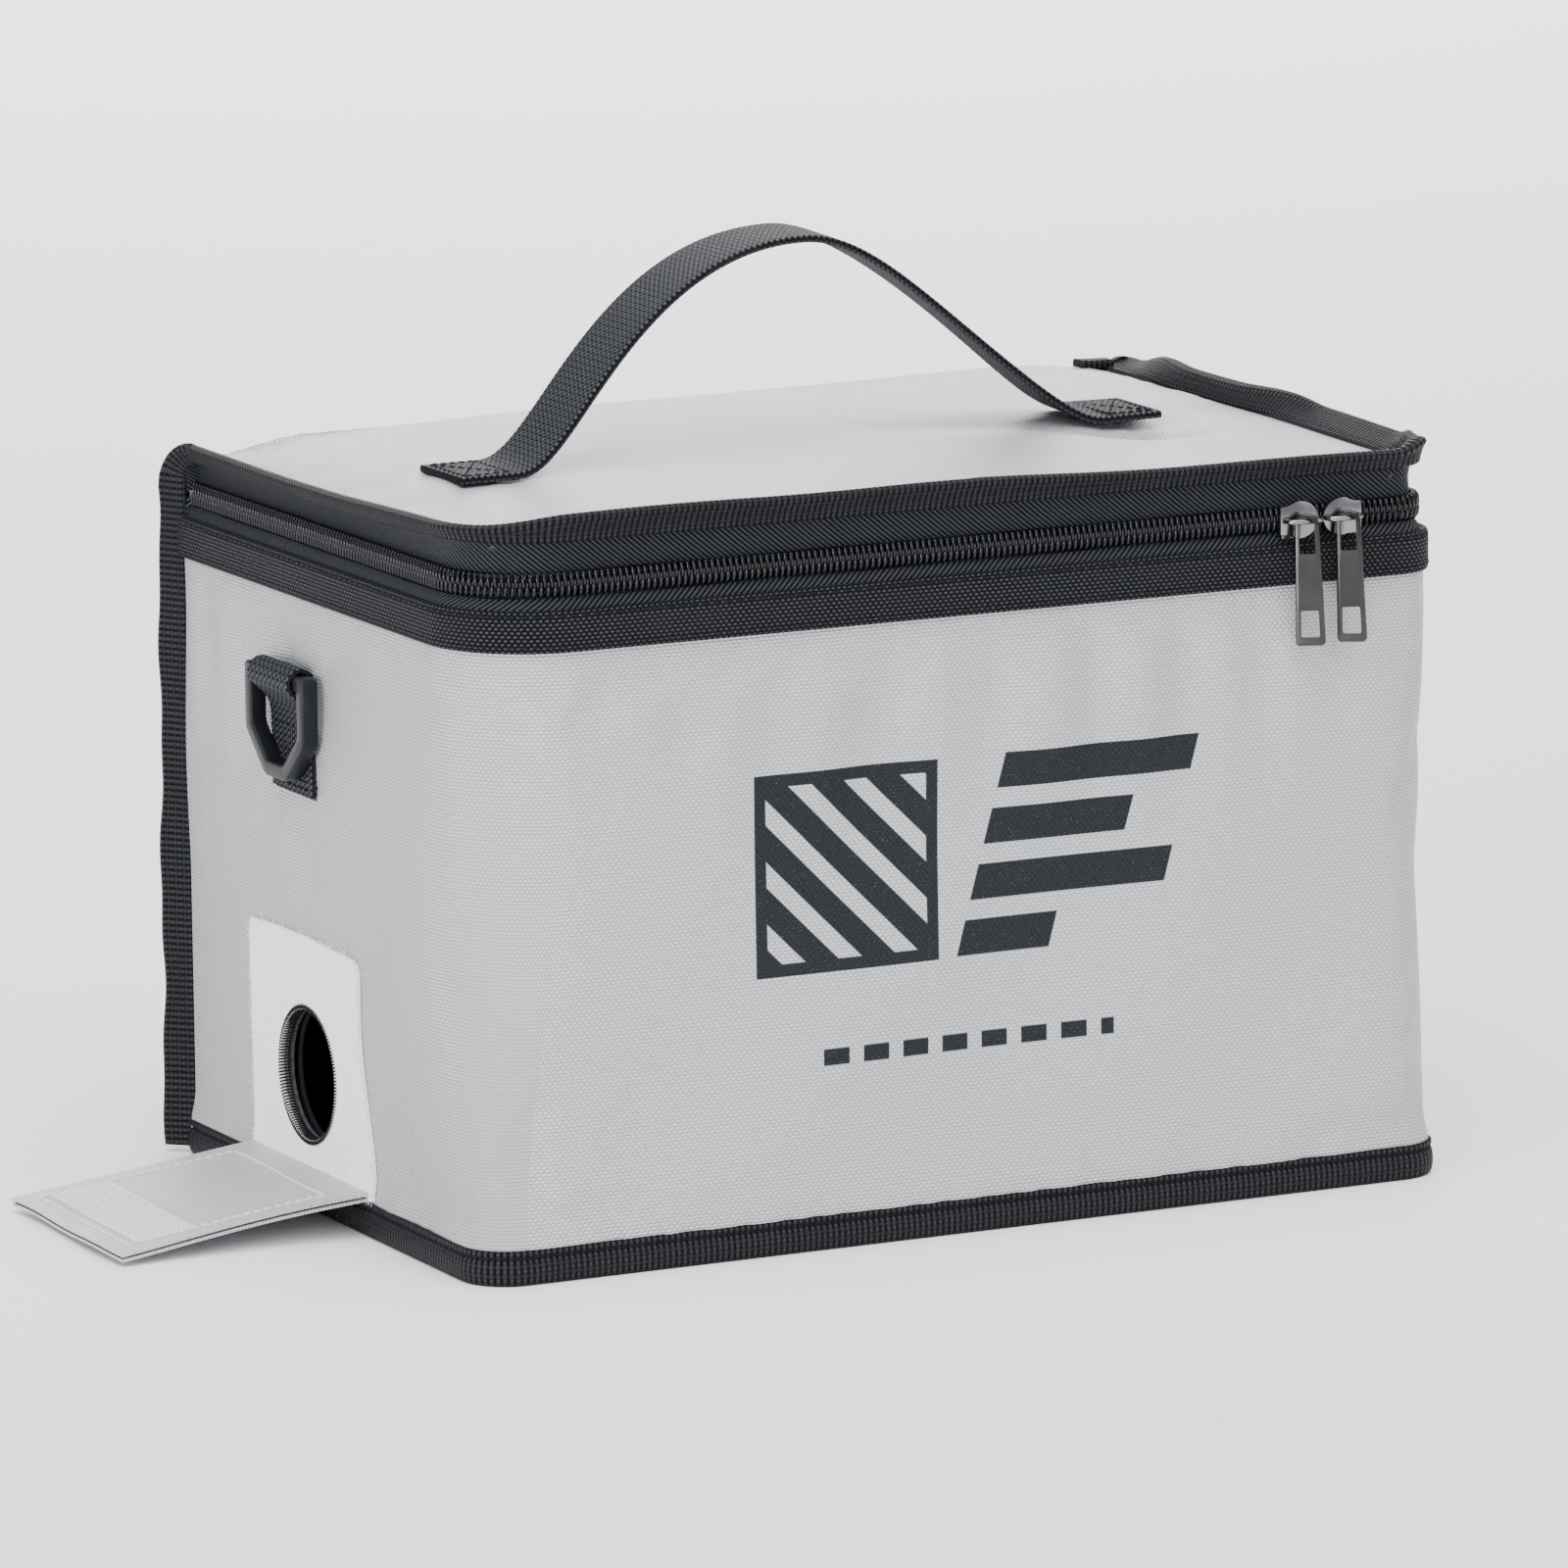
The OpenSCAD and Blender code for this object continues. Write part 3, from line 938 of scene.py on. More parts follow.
def settled(grid, pinned, pressure, cap, slack):
    """The grid after a short cloth simulation, pinned where pinned is 1."""
    if pressure == 0:
        return grid
    rows, columns = grid.shape[:2]
    piece = piece_from("cloth_in_work", grid.reshape(-1, 3), grid_faces(rows, columns))
    group = piece.vertex_groups.new(name="pinned")
    weights = pinned.reshape(-1)
    for index in np.flatnonzero(weights > 0):
        group.add([int(index)], float(weights[index]), "REPLACE")
    cloth = piece.modifiers.new("Cloth", "CLOTH")
    cloth.settings.quality = 5
    cloth.settings.mass = 0.2
    cloth.settings.tension_stiffness = 20
    cloth.settings.compression_stiffness = 20
    cloth.settings.shear_stiffness = 8
    cloth.settings.bending_stiffness = 2.0
    cloth.settings.shrink_min = -slack
    cloth.settings.vertex_group_mass = "pinned"
    cloth.settings.use_pressure = True
    cloth.settings.uniform_pressure_force = pressure
    cloth.settings.effector_weights.gravity = 0
    cloth.collision_settings.use_collision = False
    cloth.point_cache.frame_start = 1
    cloth.point_cache.frame_end = CLOTH_FRAMES
    scene = bpy.context.scene
    for number in range(1, CLOTH_FRAMES + 1):
        scene.frame_set(number)
    shape = piece.evaluated_get(bpy.context.evaluated_depsgraph_get()).to_mesh()
    moved = np.empty(len(shape.vertices) * 3)
    shape.vertices.foreach_get("co", moved)
    bpy.data.objects.remove(piece)
    scene.frame_set(1)
    shift = moved.reshape(grid.shape) - grid
    size = np.linalg.norm(shift, axis=2, keepdims=True)
    return grid + shift * (cap * np.tanh(size / cap) / np.maximum(size, 1e-9))


def smoothstep(value, start, end):
    t = np.clip((value - start) / (end - start), 0, 1)
    return t * t * (3 - 2 * t)


def bump(a, b, centre_a, centre_b, reach):
    return np.exp(-((a - centre_a) ** 2 + (b - centre_b) ** 2) / reach**2)


def wall_grid():
    """Points and UVs of the cloth round the left, front and right walls."""
    heights = np.linspace(WALL_FOOT, RIM_TOP, 56)
    foot_r = sizes().foot_corner_r
    rows = []
    for z in heights:
        radius = foot_r + (LEFT_R - foot_r) * smoothstep(z, 0, 0.95 * RIM_TOP)
        flare = 0.9 * MM * smoothstep(z, FOOT_TOP + 7 * MM, FOOT_TOP - 1 * MM)
        points, _ = rail(-flare, radius, BACK_Y - 0.4 * MM)
        rows.append(at_height(points, z))
    grid = np.stack(rows)
    far = lengths(grid[-1, :, :2])
    uvs = np.stack(np.meshgrid(far, heights), axis=2)
    x, y, z = grid[..., 0], grid[..., 1], grid[..., 2]
    pinned = smoothstep(z, RIM_LOW - 3 * MM, RIM_LOW) + (z < FOOT_TOP)
    pinned[:, :2] = 1
    pinned[:, -2:] = 1
    ring_y = centre_of("d_loop_left").y
    sewn = np.abs(y - ring_y) < 10 * MM
    sewn &= (z > low("d_loop_left").z) & (z < high("d_loop_left").z - 6 * MM)
    pinned = np.where(sewn & (np.abs(x) > HALF_W - 2 * MM), 1.0, np.clip(pinned, 0, 1))
    # the cloth stays flat where the loop patch is sewn to it
    port_low, port_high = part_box("port_patch")
    flat = smoothstep(z, port_high.z + 12 * MM, port_high.z) * (x < -HALF_W + 4 * MM)
    flat *= smoothstep(y, port_low.y - 12 * MM, port_low.y)
    pinned = np.maximum(pinned, flat)
    grid = settled(grid, pinned, 1.6, sizes().wall_swell, 0.004)
    # long soft waves that padded cloth keeps between its seams
    free = (1 - np.clip(smoothstep(z, RIM_LOW - 16 * MM, RIM_LOW), 0, 1)) * smoothstep(
        z, FOOT_TOP, FOOT_TOP + 18 * MM
    )
    free *= 1 - flat
    u = uvs[..., 0]
    wave = 0.36 * np.sin(u * 61 + z * 35) + 0.26 * np.sin(u * 97 - z * 58 + 1.3)
    wave += 0.24 * np.sin(z * 88 + u * 14 + 0.6)
    hang = smoothstep(z, RIM_LOW - 55 * MM, RIM_LOW - 6 * MM)
    hang *= smoothstep(z, RIM_LOW, RIM_LOW - 8 * MM) * (0.5 + 0.5 * np.sin(u * 23 + 1.9))
    wave += 0.95 * hang * np.sin(u * 2 * math.pi / 0.021 + 1.5 * np.sin(u * 40))
    side = np.abs(x) > HALF_W - 3 * MM
    pucker = bump(y, z, ring_y, 112 * MM, 9 * MM) * side * 0.5
    grid = grid + grid_normals(grid) * ((wave * free - pucker) * MM)[..., None]
    return grid, uvs


def lid_rise(x, y):
    """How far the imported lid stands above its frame: more to the back and the right."""
    back = smoothstep(y, FRONT_Y + 6 * MM, FOLD_Y)
    middle = smoothstep(y, FRONT_Y + 4 * MM, 0)
    right = smoothstep(x, -HALF_W, 80 * MM)
    rise = 0.9 * middle + 0.5 * back + (1.5 * middle + 0.3 * back) * right
    left_end = smoothstep(x, -82 * MM, -HALF_W + 3 * MM)
    right_end = smoothstep(x, 82 * MM, HALF_W - 3 * MM)
    return (rise - left_end * (rise + 1.8 * middle) - 1.5 * middle * right_end) * MM


def corner_trim(y, radius):
    """How much a round front corner takes off the lid's half-width at depth y."""
    short = max(0.0, FRONT_Y + radius - y)
    r = radius - LID_INSET
    return r - math.sqrt(max(0.0, r**2 - short**2))


def back_and_lid_grid():
    """Points and UVs of the cloth up the back, over the fold and along the lid."""
    seam = 1.3 * MM
    turn_y, turn_z = BACK_Y - FOLD_R, LID_TOP - FOLD_R
    up = [(BACK_Y, z) for z in np.linspace(WALL_FOOT, turn_z, 48)[:-1]]
    fold = [
        (turn_y + FOLD_R * math.cos(a), turn_z + FOLD_R * math.sin(a))
        for a in np.linspace(0, math.pi / 2, 13)[:-1]
    ]
    front = FRONT_Y + LID_INSET
    lid = [(y, LID_TOP) for y in np.linspace(turn_y, front, 50)]
    line = np.array(up + fold + lid)
    far = lengths(line)
    columns = 84
    across = np.linspace(1, -1, columns)
    rows = []
    for y, z in line:
        share = smoothstep(z, FOLD_Z - 4 * MM, LID_TOP)
        half = HALF_W - seam * (1 - share) - LID_INSET * share
        left = -half + corner_trim(y, LEFT_R)
        right = half - corner_trim(y, RIGHT_R)
        xs = (left + right) / 2 + across * (right - left) / 2
        rows.append(np.column_stack([xs, np.full(columns, y), np.full(columns, z)]))
    grid = np.stack(rows)
    uvs = np.stack([grid[..., 0], np.broadcast_to(far[:, None], grid.shape[:2])], axis=2)
    x, y, z = grid[..., 0], grid[..., 1], grid[..., 2]
    pinned = np.zeros(grid.shape[:2])
    pinned[:2] = pinned[-2:] = 1
    pinned[:, :2] = pinned[:, -2:] = 1
    pinned[z < FOOT_TOP] = 1
    on_lid = z > LID_TOP - 0.1 * MM
    for end in ("handle_end_left", "handle_end_right"):
        inside = (x > low(end).x) & (x < high(end).x) & (np.abs(y) < high(end).y)
        pinned[inside & on_lid] = 1
    fold_rows = (z > FOLD_Z - 1 * MM) & (y > FOLD_Y - 1 * MM)
    pinned[fold_rows] = np.maximum(pinned[fold_rows], 0.6)
    grid = settled(grid, pinned, 1.2, 0.9 * MM, 0.004)
    edge = np.minimum(HALF_W - LID_INSET - np.abs(x), y - front)
    free = smoothstep(edge, 0, 16 * MM) * on_lid
    wave = 0.35 * np.sin(x * 52 + y * 40 + 0.5) + 0.25 * np.sin(x * 30 - y * 75)
    right, left = high("handle_end_right").x, low("handle_end_left").x
    tug = bump(x, y, right - 12 * MM, -24 * MM, 13 * MM) * 1.9
    tug += bump(x, y, right - 2 * MM, -8 * MM, 11 * MM) * 1.5
    tug += bump(x, y, left + 2 * MM, -16 * MM, 12 * MM) * 0.7
    along = (x - right) * 0.42 + y
    reach = smoothstep(x, -20 * MM, right - 6 * MM) * smoothstep(x, right + 8 * MM, right)
    tug += 1.5 * np.exp(-(((along + 22 * MM) / (6 * MM)) ** 2)) * reach
    tug -= 1.2 * np.exp(-(((along + 38 * MM) / (8 * MM)) ** 2)) * reach
    lift = (wave - tug) * MM * free
    dip = -0.9 * MM * smoothstep(edge, 5 * MM, 0) * on_lid
    rise = lid_rise(x, y) * smoothstep(z, FOLD_Z - 12 * MM, LID_TOP)
    grid[..., 2] += lift + dip + rise
    return grid, uvs, far


GRIDS = {}


def grids():
    """The walls and the back-and-lid grids, settled once."""
    if not GRIDS:
        GRIDS["walls"] = wall_grid()
        GRIDS["back"] = back_and_lid_grid()
    return GRIDS


def port_cutter(diameter):
    """A cylinder through the left wall where the cable port is."""
    centre = centre_of("port_rim")
    deselect()
    bpy.ops.mesh.primitive_cylinder_add(
        vertices=72,
        radius=diameter / 2,
        depth=24 * MM,
        location=(-HALF_W, centre.y, centre.z),
        rotation=(0, math.pi / 2, 0),
    )
    return place(bpy.context.object)


def port_diameter():
    mount = next(m for m in frame["record"]["mounts"] if m["name"] == "cable_port")
    return 2 * mount["dims"]["r_mm"] * MM


def over_fold(piece):
    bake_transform(piece)
    return piece


class BAG_OT_walls(bpy.types.Operator):
    """Make the silver cloth of the walls, the padding behind it and the lining"""

    bl_idname = "bag.walls"
    bl_label = "Walls"

    def execute(self, context):
        grid, uvs = grids()["walls"]
        cloth = layer("wrap_cloth", grid, uvs, 0, CLOTH_T * 0.8)
        cut(cloth, port_cutter(port_diameter()))
        dress(cloth, "printed_silver", "bag", ["outer_wrap"])
        pad = layer("wall_padding", grid[:, 1:-1], uvs[:, 1:-1], -CLOTH_T, PADDING_T)
        cut(pad, port_cutter(port_diameter()))
        stands_for = ["front_padding", "left_padding", "right_padding"]
        dress(pad, "felt", "bag", stands_for)
        self.lining()
        self.base()
        return {"FINISHED"}

    def lining(self):
        """Lining of the walls, back and floor, as one tub."""
        deep = CLOTH_T + PADDING_T + 0.1 * MM
        inner_back = BACK_Y - deep
        slack = 1.3 * MM
        heights = np.linspace(RIM_TOP, low("body_lining").z + 0.4 * MM, 30)
        rows = []
        for z in heights:
            foot_r = sizes().foot_corner_r + 2 * MM
            radius = foot_r + (LEFT_R - foot_r) * smoothstep(z, 0, 0.95 * RIM_TOP)
            loose = smoothstep(z, RIM_LOW, RIM_LOW - 9 * MM)
            loose *= smoothstep(z, FOOT_TOP - 3 * MM, FOOT_TOP + 8 * MM)
            inset = deep + slack * loose
            points, _ = rail(inset, radius, inner_back - slack * loose)
            back = np.linspace(points[-1], points[0], 48)[1:]
            points = np.vstack([points, back])
            rows.append(at_height(points, z))
        wall = np.stack(rows)
        floor_z = heights[-1]
        for share in (0.97, 0.9, 0.6, 0.3, 0.02):
            ring = wall[-1] * [share, share, 1]
            ring[:, 2] = floor_z
            rows.append(ring)
        tub = np.stack(rows)[:, ::-1]
        around = lengths(wall[0])
        down = lengths(tub[:, 3])
        tub_uvs = np.stack(np.meshgrid(around, down), axis=2)
        piece = layer("lining", tub, tub_uvs, 0, LINING_T)
        weld(piece, 0.02 * MM, fill=True)
        cut(piece, port_cutter(port_diameter()))
        dress(piece, "lining", "bag", ["body_lining"])

    def base(self):
        """The base's cloth and padding."""
        for name, node, finish, slot in (
            ("base_cloth", "bottom_cloth", "silver", "silver_cloth"),
            ("base_padding", "bottom_padding", "felt", "padding"),
        ):
            node_low, node_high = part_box(node)
            inset = HALF_W - node_high.x
            radius = sizes().foot_corner_r
            points, _ = rail(inset, radius, node_high.y)
            points = np.vstack([points, np.linspace(points[-1], points[0], 40)[1:]])
            ring = at_height(points, 0.0)
            rows = [ring * [s, s, 0] for s in (1.0, 0.97, 0.8, 0.5, 0.25, 0.01)]
            grid = np.stack(rows)
            grid[..., 2] = (node_low.z + node_high.z) / 2
            uvs = grid[..., :2].copy()
            thick = (node_high.z - node_low.z) * 0.9
            piece = layer(name, grid, uvs, thick / 2, thick)
            weld(piece, 0.01 * MM, outward=False)
            dress(piece, finish, "bag", [node])


class BAG_OT_back_and_lid(bpy.types.Operator):
    """Make the cloth of the back, fold and lid, with its padding and lining"""

    bl_idname = "bag.back_and_lid"
    bl_label = "Back and lid"

    def execute(self, context):
        grid, uvs, far = grids()["back"]
        cloth = layer("back_and_lid_cloth", grid, uvs, 0, CLOTH_T * 0.8)
        dress(cloth, "silver")
        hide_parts("back_cloth", "hinge_fold", "lid_cloth")
        over_fold(cloth)
        z = grid[:, 0, 2]
        y = grid[:, 0, 1]
        back = np.flatnonzero(z < RIM_TOP)
        lid = np.flatnonzero((z > LID_TOP - 2 * MM) & (y < SKIRT_Y))
        behind, behind_uvs = grid[back][:, 2:-2], uvs[back][:, 2:-2]
        pad = layer("back_padding_felt", behind, behind_uvs, -CLOTH_T, PADDING_T)
        dress(pad, "felt", "bag", ["back_padding"])
        inside, inside_uvs = grid[lid], uvs[lid]
        pad = layer("lid_padding_felt", inside, inside_uvs, -CLOTH_T, PADDING_T)
        dress(pad, "felt", "lid", ["lid_padding"])
        under = -(CLOTH_T + PADDING_T + 0.05 * MM)
        lining = layer("lid_lining_cloth", inside, inside_uvs, under, LINING_T)
        dress(lining, "lining", "lid", ["lid_lining"])
        return {"FINISHED"}


class BAG_OT_bindings(bpy.types.Operator):
    """Make the webbing round the rim, the base and the lid's edge"""

    bl_idname = "bag.bindings"
    bl_label = "Bindings"

    def execute(self, context):
        self.rim()
        self.foot()
        self.edge()
        return {"FINISHED"}

    def rim(self):
        out = (high("rim_webbing").x - HALF_W) / MM
        mid = (RIM_TOP + RIM_LOW) / 2 / MM
        top, bottom = RIM_TOP / MM, RIM_LOW / MM
        section = [
            (0.0, bottom),
            (-out * 0.75, bottom),
            (-out, bottom + 0.5),
            (-out * 1.05, mid - 1.8),
            (-out * 1.0, mid),
            (-out * 1.05, mid + 1.8),
            (-out, top - 1.3),
            (-out * 0.82, top - 0.9),
            (-out * 0.9, top - 0.4),
            (-out * 0.5, top + 0.15),
            (0.4, top + 0.2),
            (0.4, top - 1.0),
            (0.0, top - 1.2),
        ]
        piece = band("rim_band", in_metres(section), BACK_Y - 1 * MM)
        dress(piece, "webbing", "bag", ["rim_webbing"])
        for name, height, lift in (
            ("rim_stitches_top", RIM_TOP - 0.95 * MM, 0.86),
            ("rim_stitches_low", RIM_LOW + 1.3 * MM, 1.0),
        ):
            points, outward = rail(-out * lift * MM, back_end=high("rim_webbing").y)
            line = at_height(points, height)
            normal = at_height(outward, 0.0)
            stitches(name, line, normal, "black_thread", "bag")

    def foot(self):
        """The binding round the base: a thin roll over a thick one, all the way round."""
        outline = [
            (0.0, 0.2), (-0.9, 0.05), (-1.5, 0.7), (-1.75, 2.0), (-1.75, 3.6),
            (-1.5, 4.9), (-1.0, 5.55), (-1.05, 5.8), (-1.45, 6.2), (-1.4, 6.9),
            (-0.9, 7.25), (0.0, 7.1),
        ]
        outline = [(-inset * MM, z * MM) for inset, z in outline]
        radius = sizes().foot_corner_r
        ring = []
        for out, height in outline:
            points, _ = rail(-out, radius, BACK_Y - FOOT_BACK_R)
            end = BACK_Y + out
            turn = np.linspace(0, math.pi / 2, 5)[1:]
            r = FOOT_BACK_R + out
            cx, cy = HALF_W - FOOT_BACK_R, BACK_Y - FOOT_BACK_R
            right = [(cx + r * math.cos(a), cy + r * math.sin(a)) for a in turn]
            across = [(x, end) for x in np.linspace(cx, -cx, 50)[1:]]
            left = [(-cx - r * math.sin(a), cy + r * math.cos(a)) for a in turn[:-1]]
            loop = np.vstack([points, right, across, left])
            loop = np.vstack([loop, loop[:1]])
            ring.append(at_height(loop, height))
        piece = swept("foot_binding", np.stack(ring, axis=1), closed_path=True)
        dress(piece, "edging", "bag", ["bottom_binding"])
        points, outward = rail(-1.1 * MM, radius, BACK_Y - FOOT_BACK_R)
        line = at_height(points, 5.65 * MM)
        normal = at_height(outward, 0.0)
        stitches("foot_stitches", line, normal, "black_thread", "bag")

    def edge(self):
        """One binding: up a back corner, over the fold, round the lid and down again."""
        edges = []
        for laid in (0, 1):
            heights = np.linspace(1.5 * MM, LID_TOP - FOLD_R, 60)[:-1]
            half = [self.back_edge(z) for z in heights]
            turn = np.linspace(0, math.pi / 2, 15)[:-1]
            edges.append(half + [self.fold_edge(a, laid) for a in turn])
        points, outward = rail(ROOT_IN_LID, back_end=BACK_Y - FOLD_R)
        places = [(*edge, np.zeros(3), 1) for edge in edges[0]]
        for (x, y), (ox, oy) in zip(points, outward):
            angle = math.degrees(math.atan2(oy, ox))
            ear = math.exp(-(((angle + 44) / 32) ** 2)) if x > 0 else 0
            right = smoothstep(x, HALF_W - RIGHT_R, HALF_W - 3 * MM)
            behind = smoothstep(y, 30 * MM, 62 * MM)
            ahead = smoothstep(y, 12 * MM, -20 * MM) * smoothstep(y, -63 * MM, -52 * MM)
            laid = right * (behind + 0.9 * ahead)
            lean = 0.42 - 0.16 * ear
            lean += (0.96 - lean) * laid
            curl = 0.5 * lean * (1 - laid)
            lean -= curl
            flange = np.array([ox * lean, oy * lean, math.sqrt(1 - lean**2)])
            on_left = smoothstep(-x, HALF_W - LEFT_R, HALF_W - 4 * MM)
            dropped = smoothstep(x, -20 * MM, 70 * MM) * (1 - right)
            length = 5.8 + 0.9 * ear - 1.9 * dropped - 2.3 * on_left
            length += right * (1.4 * laid - 0.9)
            length = (length + 0.2 * math.sin(x * 90 + y * 70)) * MM
            out = np.array([ox, oy, 0]) * 1.6 * curl
            fat = 1.35 + 0.35 * ear - 0.6 * laid
            places.append((np.array([x, y, ROOT_Z]), flange, length, out, fat))
        mirror = np.array([-1, 1, 1])
        for root, flange, length in reversed(edges[1]):
            places.append((root * mirror, flange * mirror, length, np.zeros(3), 1))
        for root, *_ in places:
            near_lid = smoothstep(root[2], FOLD_Z - 12 * MM, LID_TOP - 1 * MM)
            root[2] += lid_rise(root[0], root[1]) * near_lid
        rings = []
        ways = directions(np.array([root for root, *_ in places]))
        for (root, flange, length, curl, fat), way in zip(places, ways):
            flange = flange - way * flange.dot(way)
            flange /= np.linalg.norm(flange)
            deep = np.cross(way, flange)
            tip = length / MM
            outline = [
                (0.0, -0.9), (0.5, -1.25), (2.0, -1.15), (tip - 2.2, -1.05),
                (tip - 0.8, -1.1), (tip - 0.15, -0.65), (tip, 0.0),
                (tip - 0.15, 0.65), (tip - 0.8, 1.1), (tip - 2.2, 1.05),
                (2.0, 1.1), (0.5, 1.1), (0.0, 0.7),
            ]
            rings.append([
                root + (f * flange + g * fat * deep + curl * f * f / tip) * MM
                for f, g in outline
            ])
        piece = swept("edge_binding", rings)
        dress(piece, "edging")
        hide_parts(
            "back_binding_left",
            "back_binding_right",
            "fold_binding_left",
            "fold_binding_right",
            "lid_binding",
        )
        over_fold(piece)
        self.tab()

    def tab(self):
        """The binding's turned end along the back edge, at the right corner."""
        xs = np.linspace(HALF_W - 2 * MM, HALF_W - 9.5 * MM, 10)
        y = BACK_Y - 4.5 * MM
        centre = [(x, y, LID_TOP + lid_rise(x, y) + 0.8 * MM) for x in xs]
        side = np.broadcast_to([0.0, -1.0, 0.0], (len(xs), 3))
        piece = strap("fold_tab", centre, side, 4.5 * MM, 1.7 * MM)
        dress(piece, "edging")
        over_fold(piece)

    def back_edge(self, z):
        """Root, direction and length of the binding at height z of the left back corner."""
        share = float(smoothstep(z, 0, FOLD_Z))
        angle = math.radians(42 + 20 * share)
        root = np.array([-HALF_W + ROOT_IN_BACK, BACK_Y - ROOT_IN_BACK, z])
        flange = np.array([-math.cos(angle), math.sin(angle), 0])
        length = (7.4 + 0.35 * math.sin(z * 130) + 0.2 * math.sin(z * 310)) * MM
        return root, flange, length

    def fold_edge(self, angle, laid):
        """The same at an angle of the fold; laid is 1 where it ends lying outwards."""
        share = angle / (math.pi / 2)
        turn_y, turn_z = BACK_Y - FOLD_R, LID_TOP - FOLD_R
        reach = (BACK_Y - ROOT_IN_BACK - turn_y) * (1 - share)
        reach += (ROOT_Z - turn_z) * share
        turned = share ** (1 - 0.6 * laid)
        out = math.cos(math.radians(62)) * (1 - turned) + (0.42 + 0.54 * laid) * turned
        across = math.sqrt(1 - out**2)
        turn = np.array([0, math.cos(angle), math.sin(angle)])
        root_x = -HALF_W + ROOT_IN_BACK * (1 - share) + ROOT_IN_LID * share
        root = np.array([root_x, turn_y, turn_z]) + turn * reach
        flange = turn * across + np.array([-out, 0, 0])
        length = (7.0 - (3.2 - 2.3 * laid) * share) * MM
        return root, flange, length * (1 - 0.42 * laid * math.sin(math.pi * share))


class BAG_OT_zip(bpy.types.Operator):
    """Make the zip's two tapes and its two rows of teeth"""

    bl_idname = "bag.zip"
    bl_label = "Zip"

    def execute(self, context):
        self.tapes()
        self.teeth("teeth_lower", 1, "zip_coil_lower")
        self.teeth("teeth_upper", -1, "zip_coil_upper")
        return {"FINISHED"}

    def tapes(self):
        tape_end = BACK_Y - 2.4 * MM
        top = high("zip_tape_lower").z / MM
        bottom = low("zip_tape_lower").z / MM
        rim = RIM_TOP / MM
        section = [
            (0.5, rim - 0.4), (0.7, rim + 0.6), (1.5, rim + 1.6), (2.6, top - 1.2),
            (2.75, top), (3.15, top), (3.3, rim + 1.0), (3.3, bottom), (2.95, bottom),
            (2.9, rim - 0.6),
        ]
        piece = band("tape_lower", in_metres(section), tape_end, turned_out=True)
        dress(piece, "lower_tape", "bag", ["zip_tape_lower"])
        high_z = high("zip_tape_upper").z
        top = high_z / MM
        bottom = low("zip_tape_upper").z / MM
        section = [
            (2.75, bottom), (2.85, bottom + 1.5), (3.1, top - 1.5), (2.7, top + 0.9),
            (2.6, top + 2.4), (3.4, top + 2.4), (3.7, top - 0.9), (3.4, bottom + 1.5),
            (3.15, bottom),
        ]
        piece = band("tape_upper", in_metres(section), tape_end, turned_out=True)
        rising_from = 143 * MM
        for vertex in piece.data.vertices:
            x, y, z = vertex.co
            vertex.co.z += lid_rise(x, y) * smoothstep(z, rising_from, high_z)
        dress(piece, "upper_tape", replaces=["zip_tape_upper"])
        over_fold(piece)

    def teeth(self, name, way, node):
        """One row: turns of the nylon coil; way is 1 below the middle and -1 above."""
        turn = [
            (-0.34, -0.25, -2.30), (-0.32, 0.55, -2.45), (-0.20, 1.02, -1.75),
            (-0.04, 1.12, -0.50), (0.00, 0.85, 0.45), (0.02, 0.15, 0.72),
            (0.10, -0.35, 0.20), (0.30, -0.35, -2.20),
        ]
        line = [(a * MM, -b * MM, way * c * MM) for a, b, c in turn]
        model = wire("turn", line, 0.33 * MM, 2)
        inset = low(node).x + HALF_W + 1.3 * MM
        points, outward = rail(inset, back_end=BACK_Y - 2 * MM)
        far = lengths(points)
        pitch = sizes().tooth_pitch
        count = int(far[-1] / pitch) - 1
        frames = []
        for number in range(count):
            at = (number + (0.5 if way < 0 else 0.0)) * pitch + pitch
            spot = [np.interp(at, far, points[:, k]) for k in (0, 1)]
            out = Vector([np.interp(at, far, outward[:, k]) for k in (0, 1)] + [0])
            out.normalize()
            along = Vector((-out.y, out.x, 0))
            frames.append(frame_from((*spot, ZIP_Z), along, -out, Vector((0, 0, 1))))
        piece = repeated(name, model, frames)
        dress(piece, "nylon", replaces=[node], smooth=70)
        if way > 0:
            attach(piece, "bag")
        else:
            over_fold(piece)


def at_slider(piece, node):
    """Moves a piece drawn at the middle of a slider's front to that slider's place."""
    piece.location = (centre_of(node).x, 0, ZIP_Z)
    return place(piece)


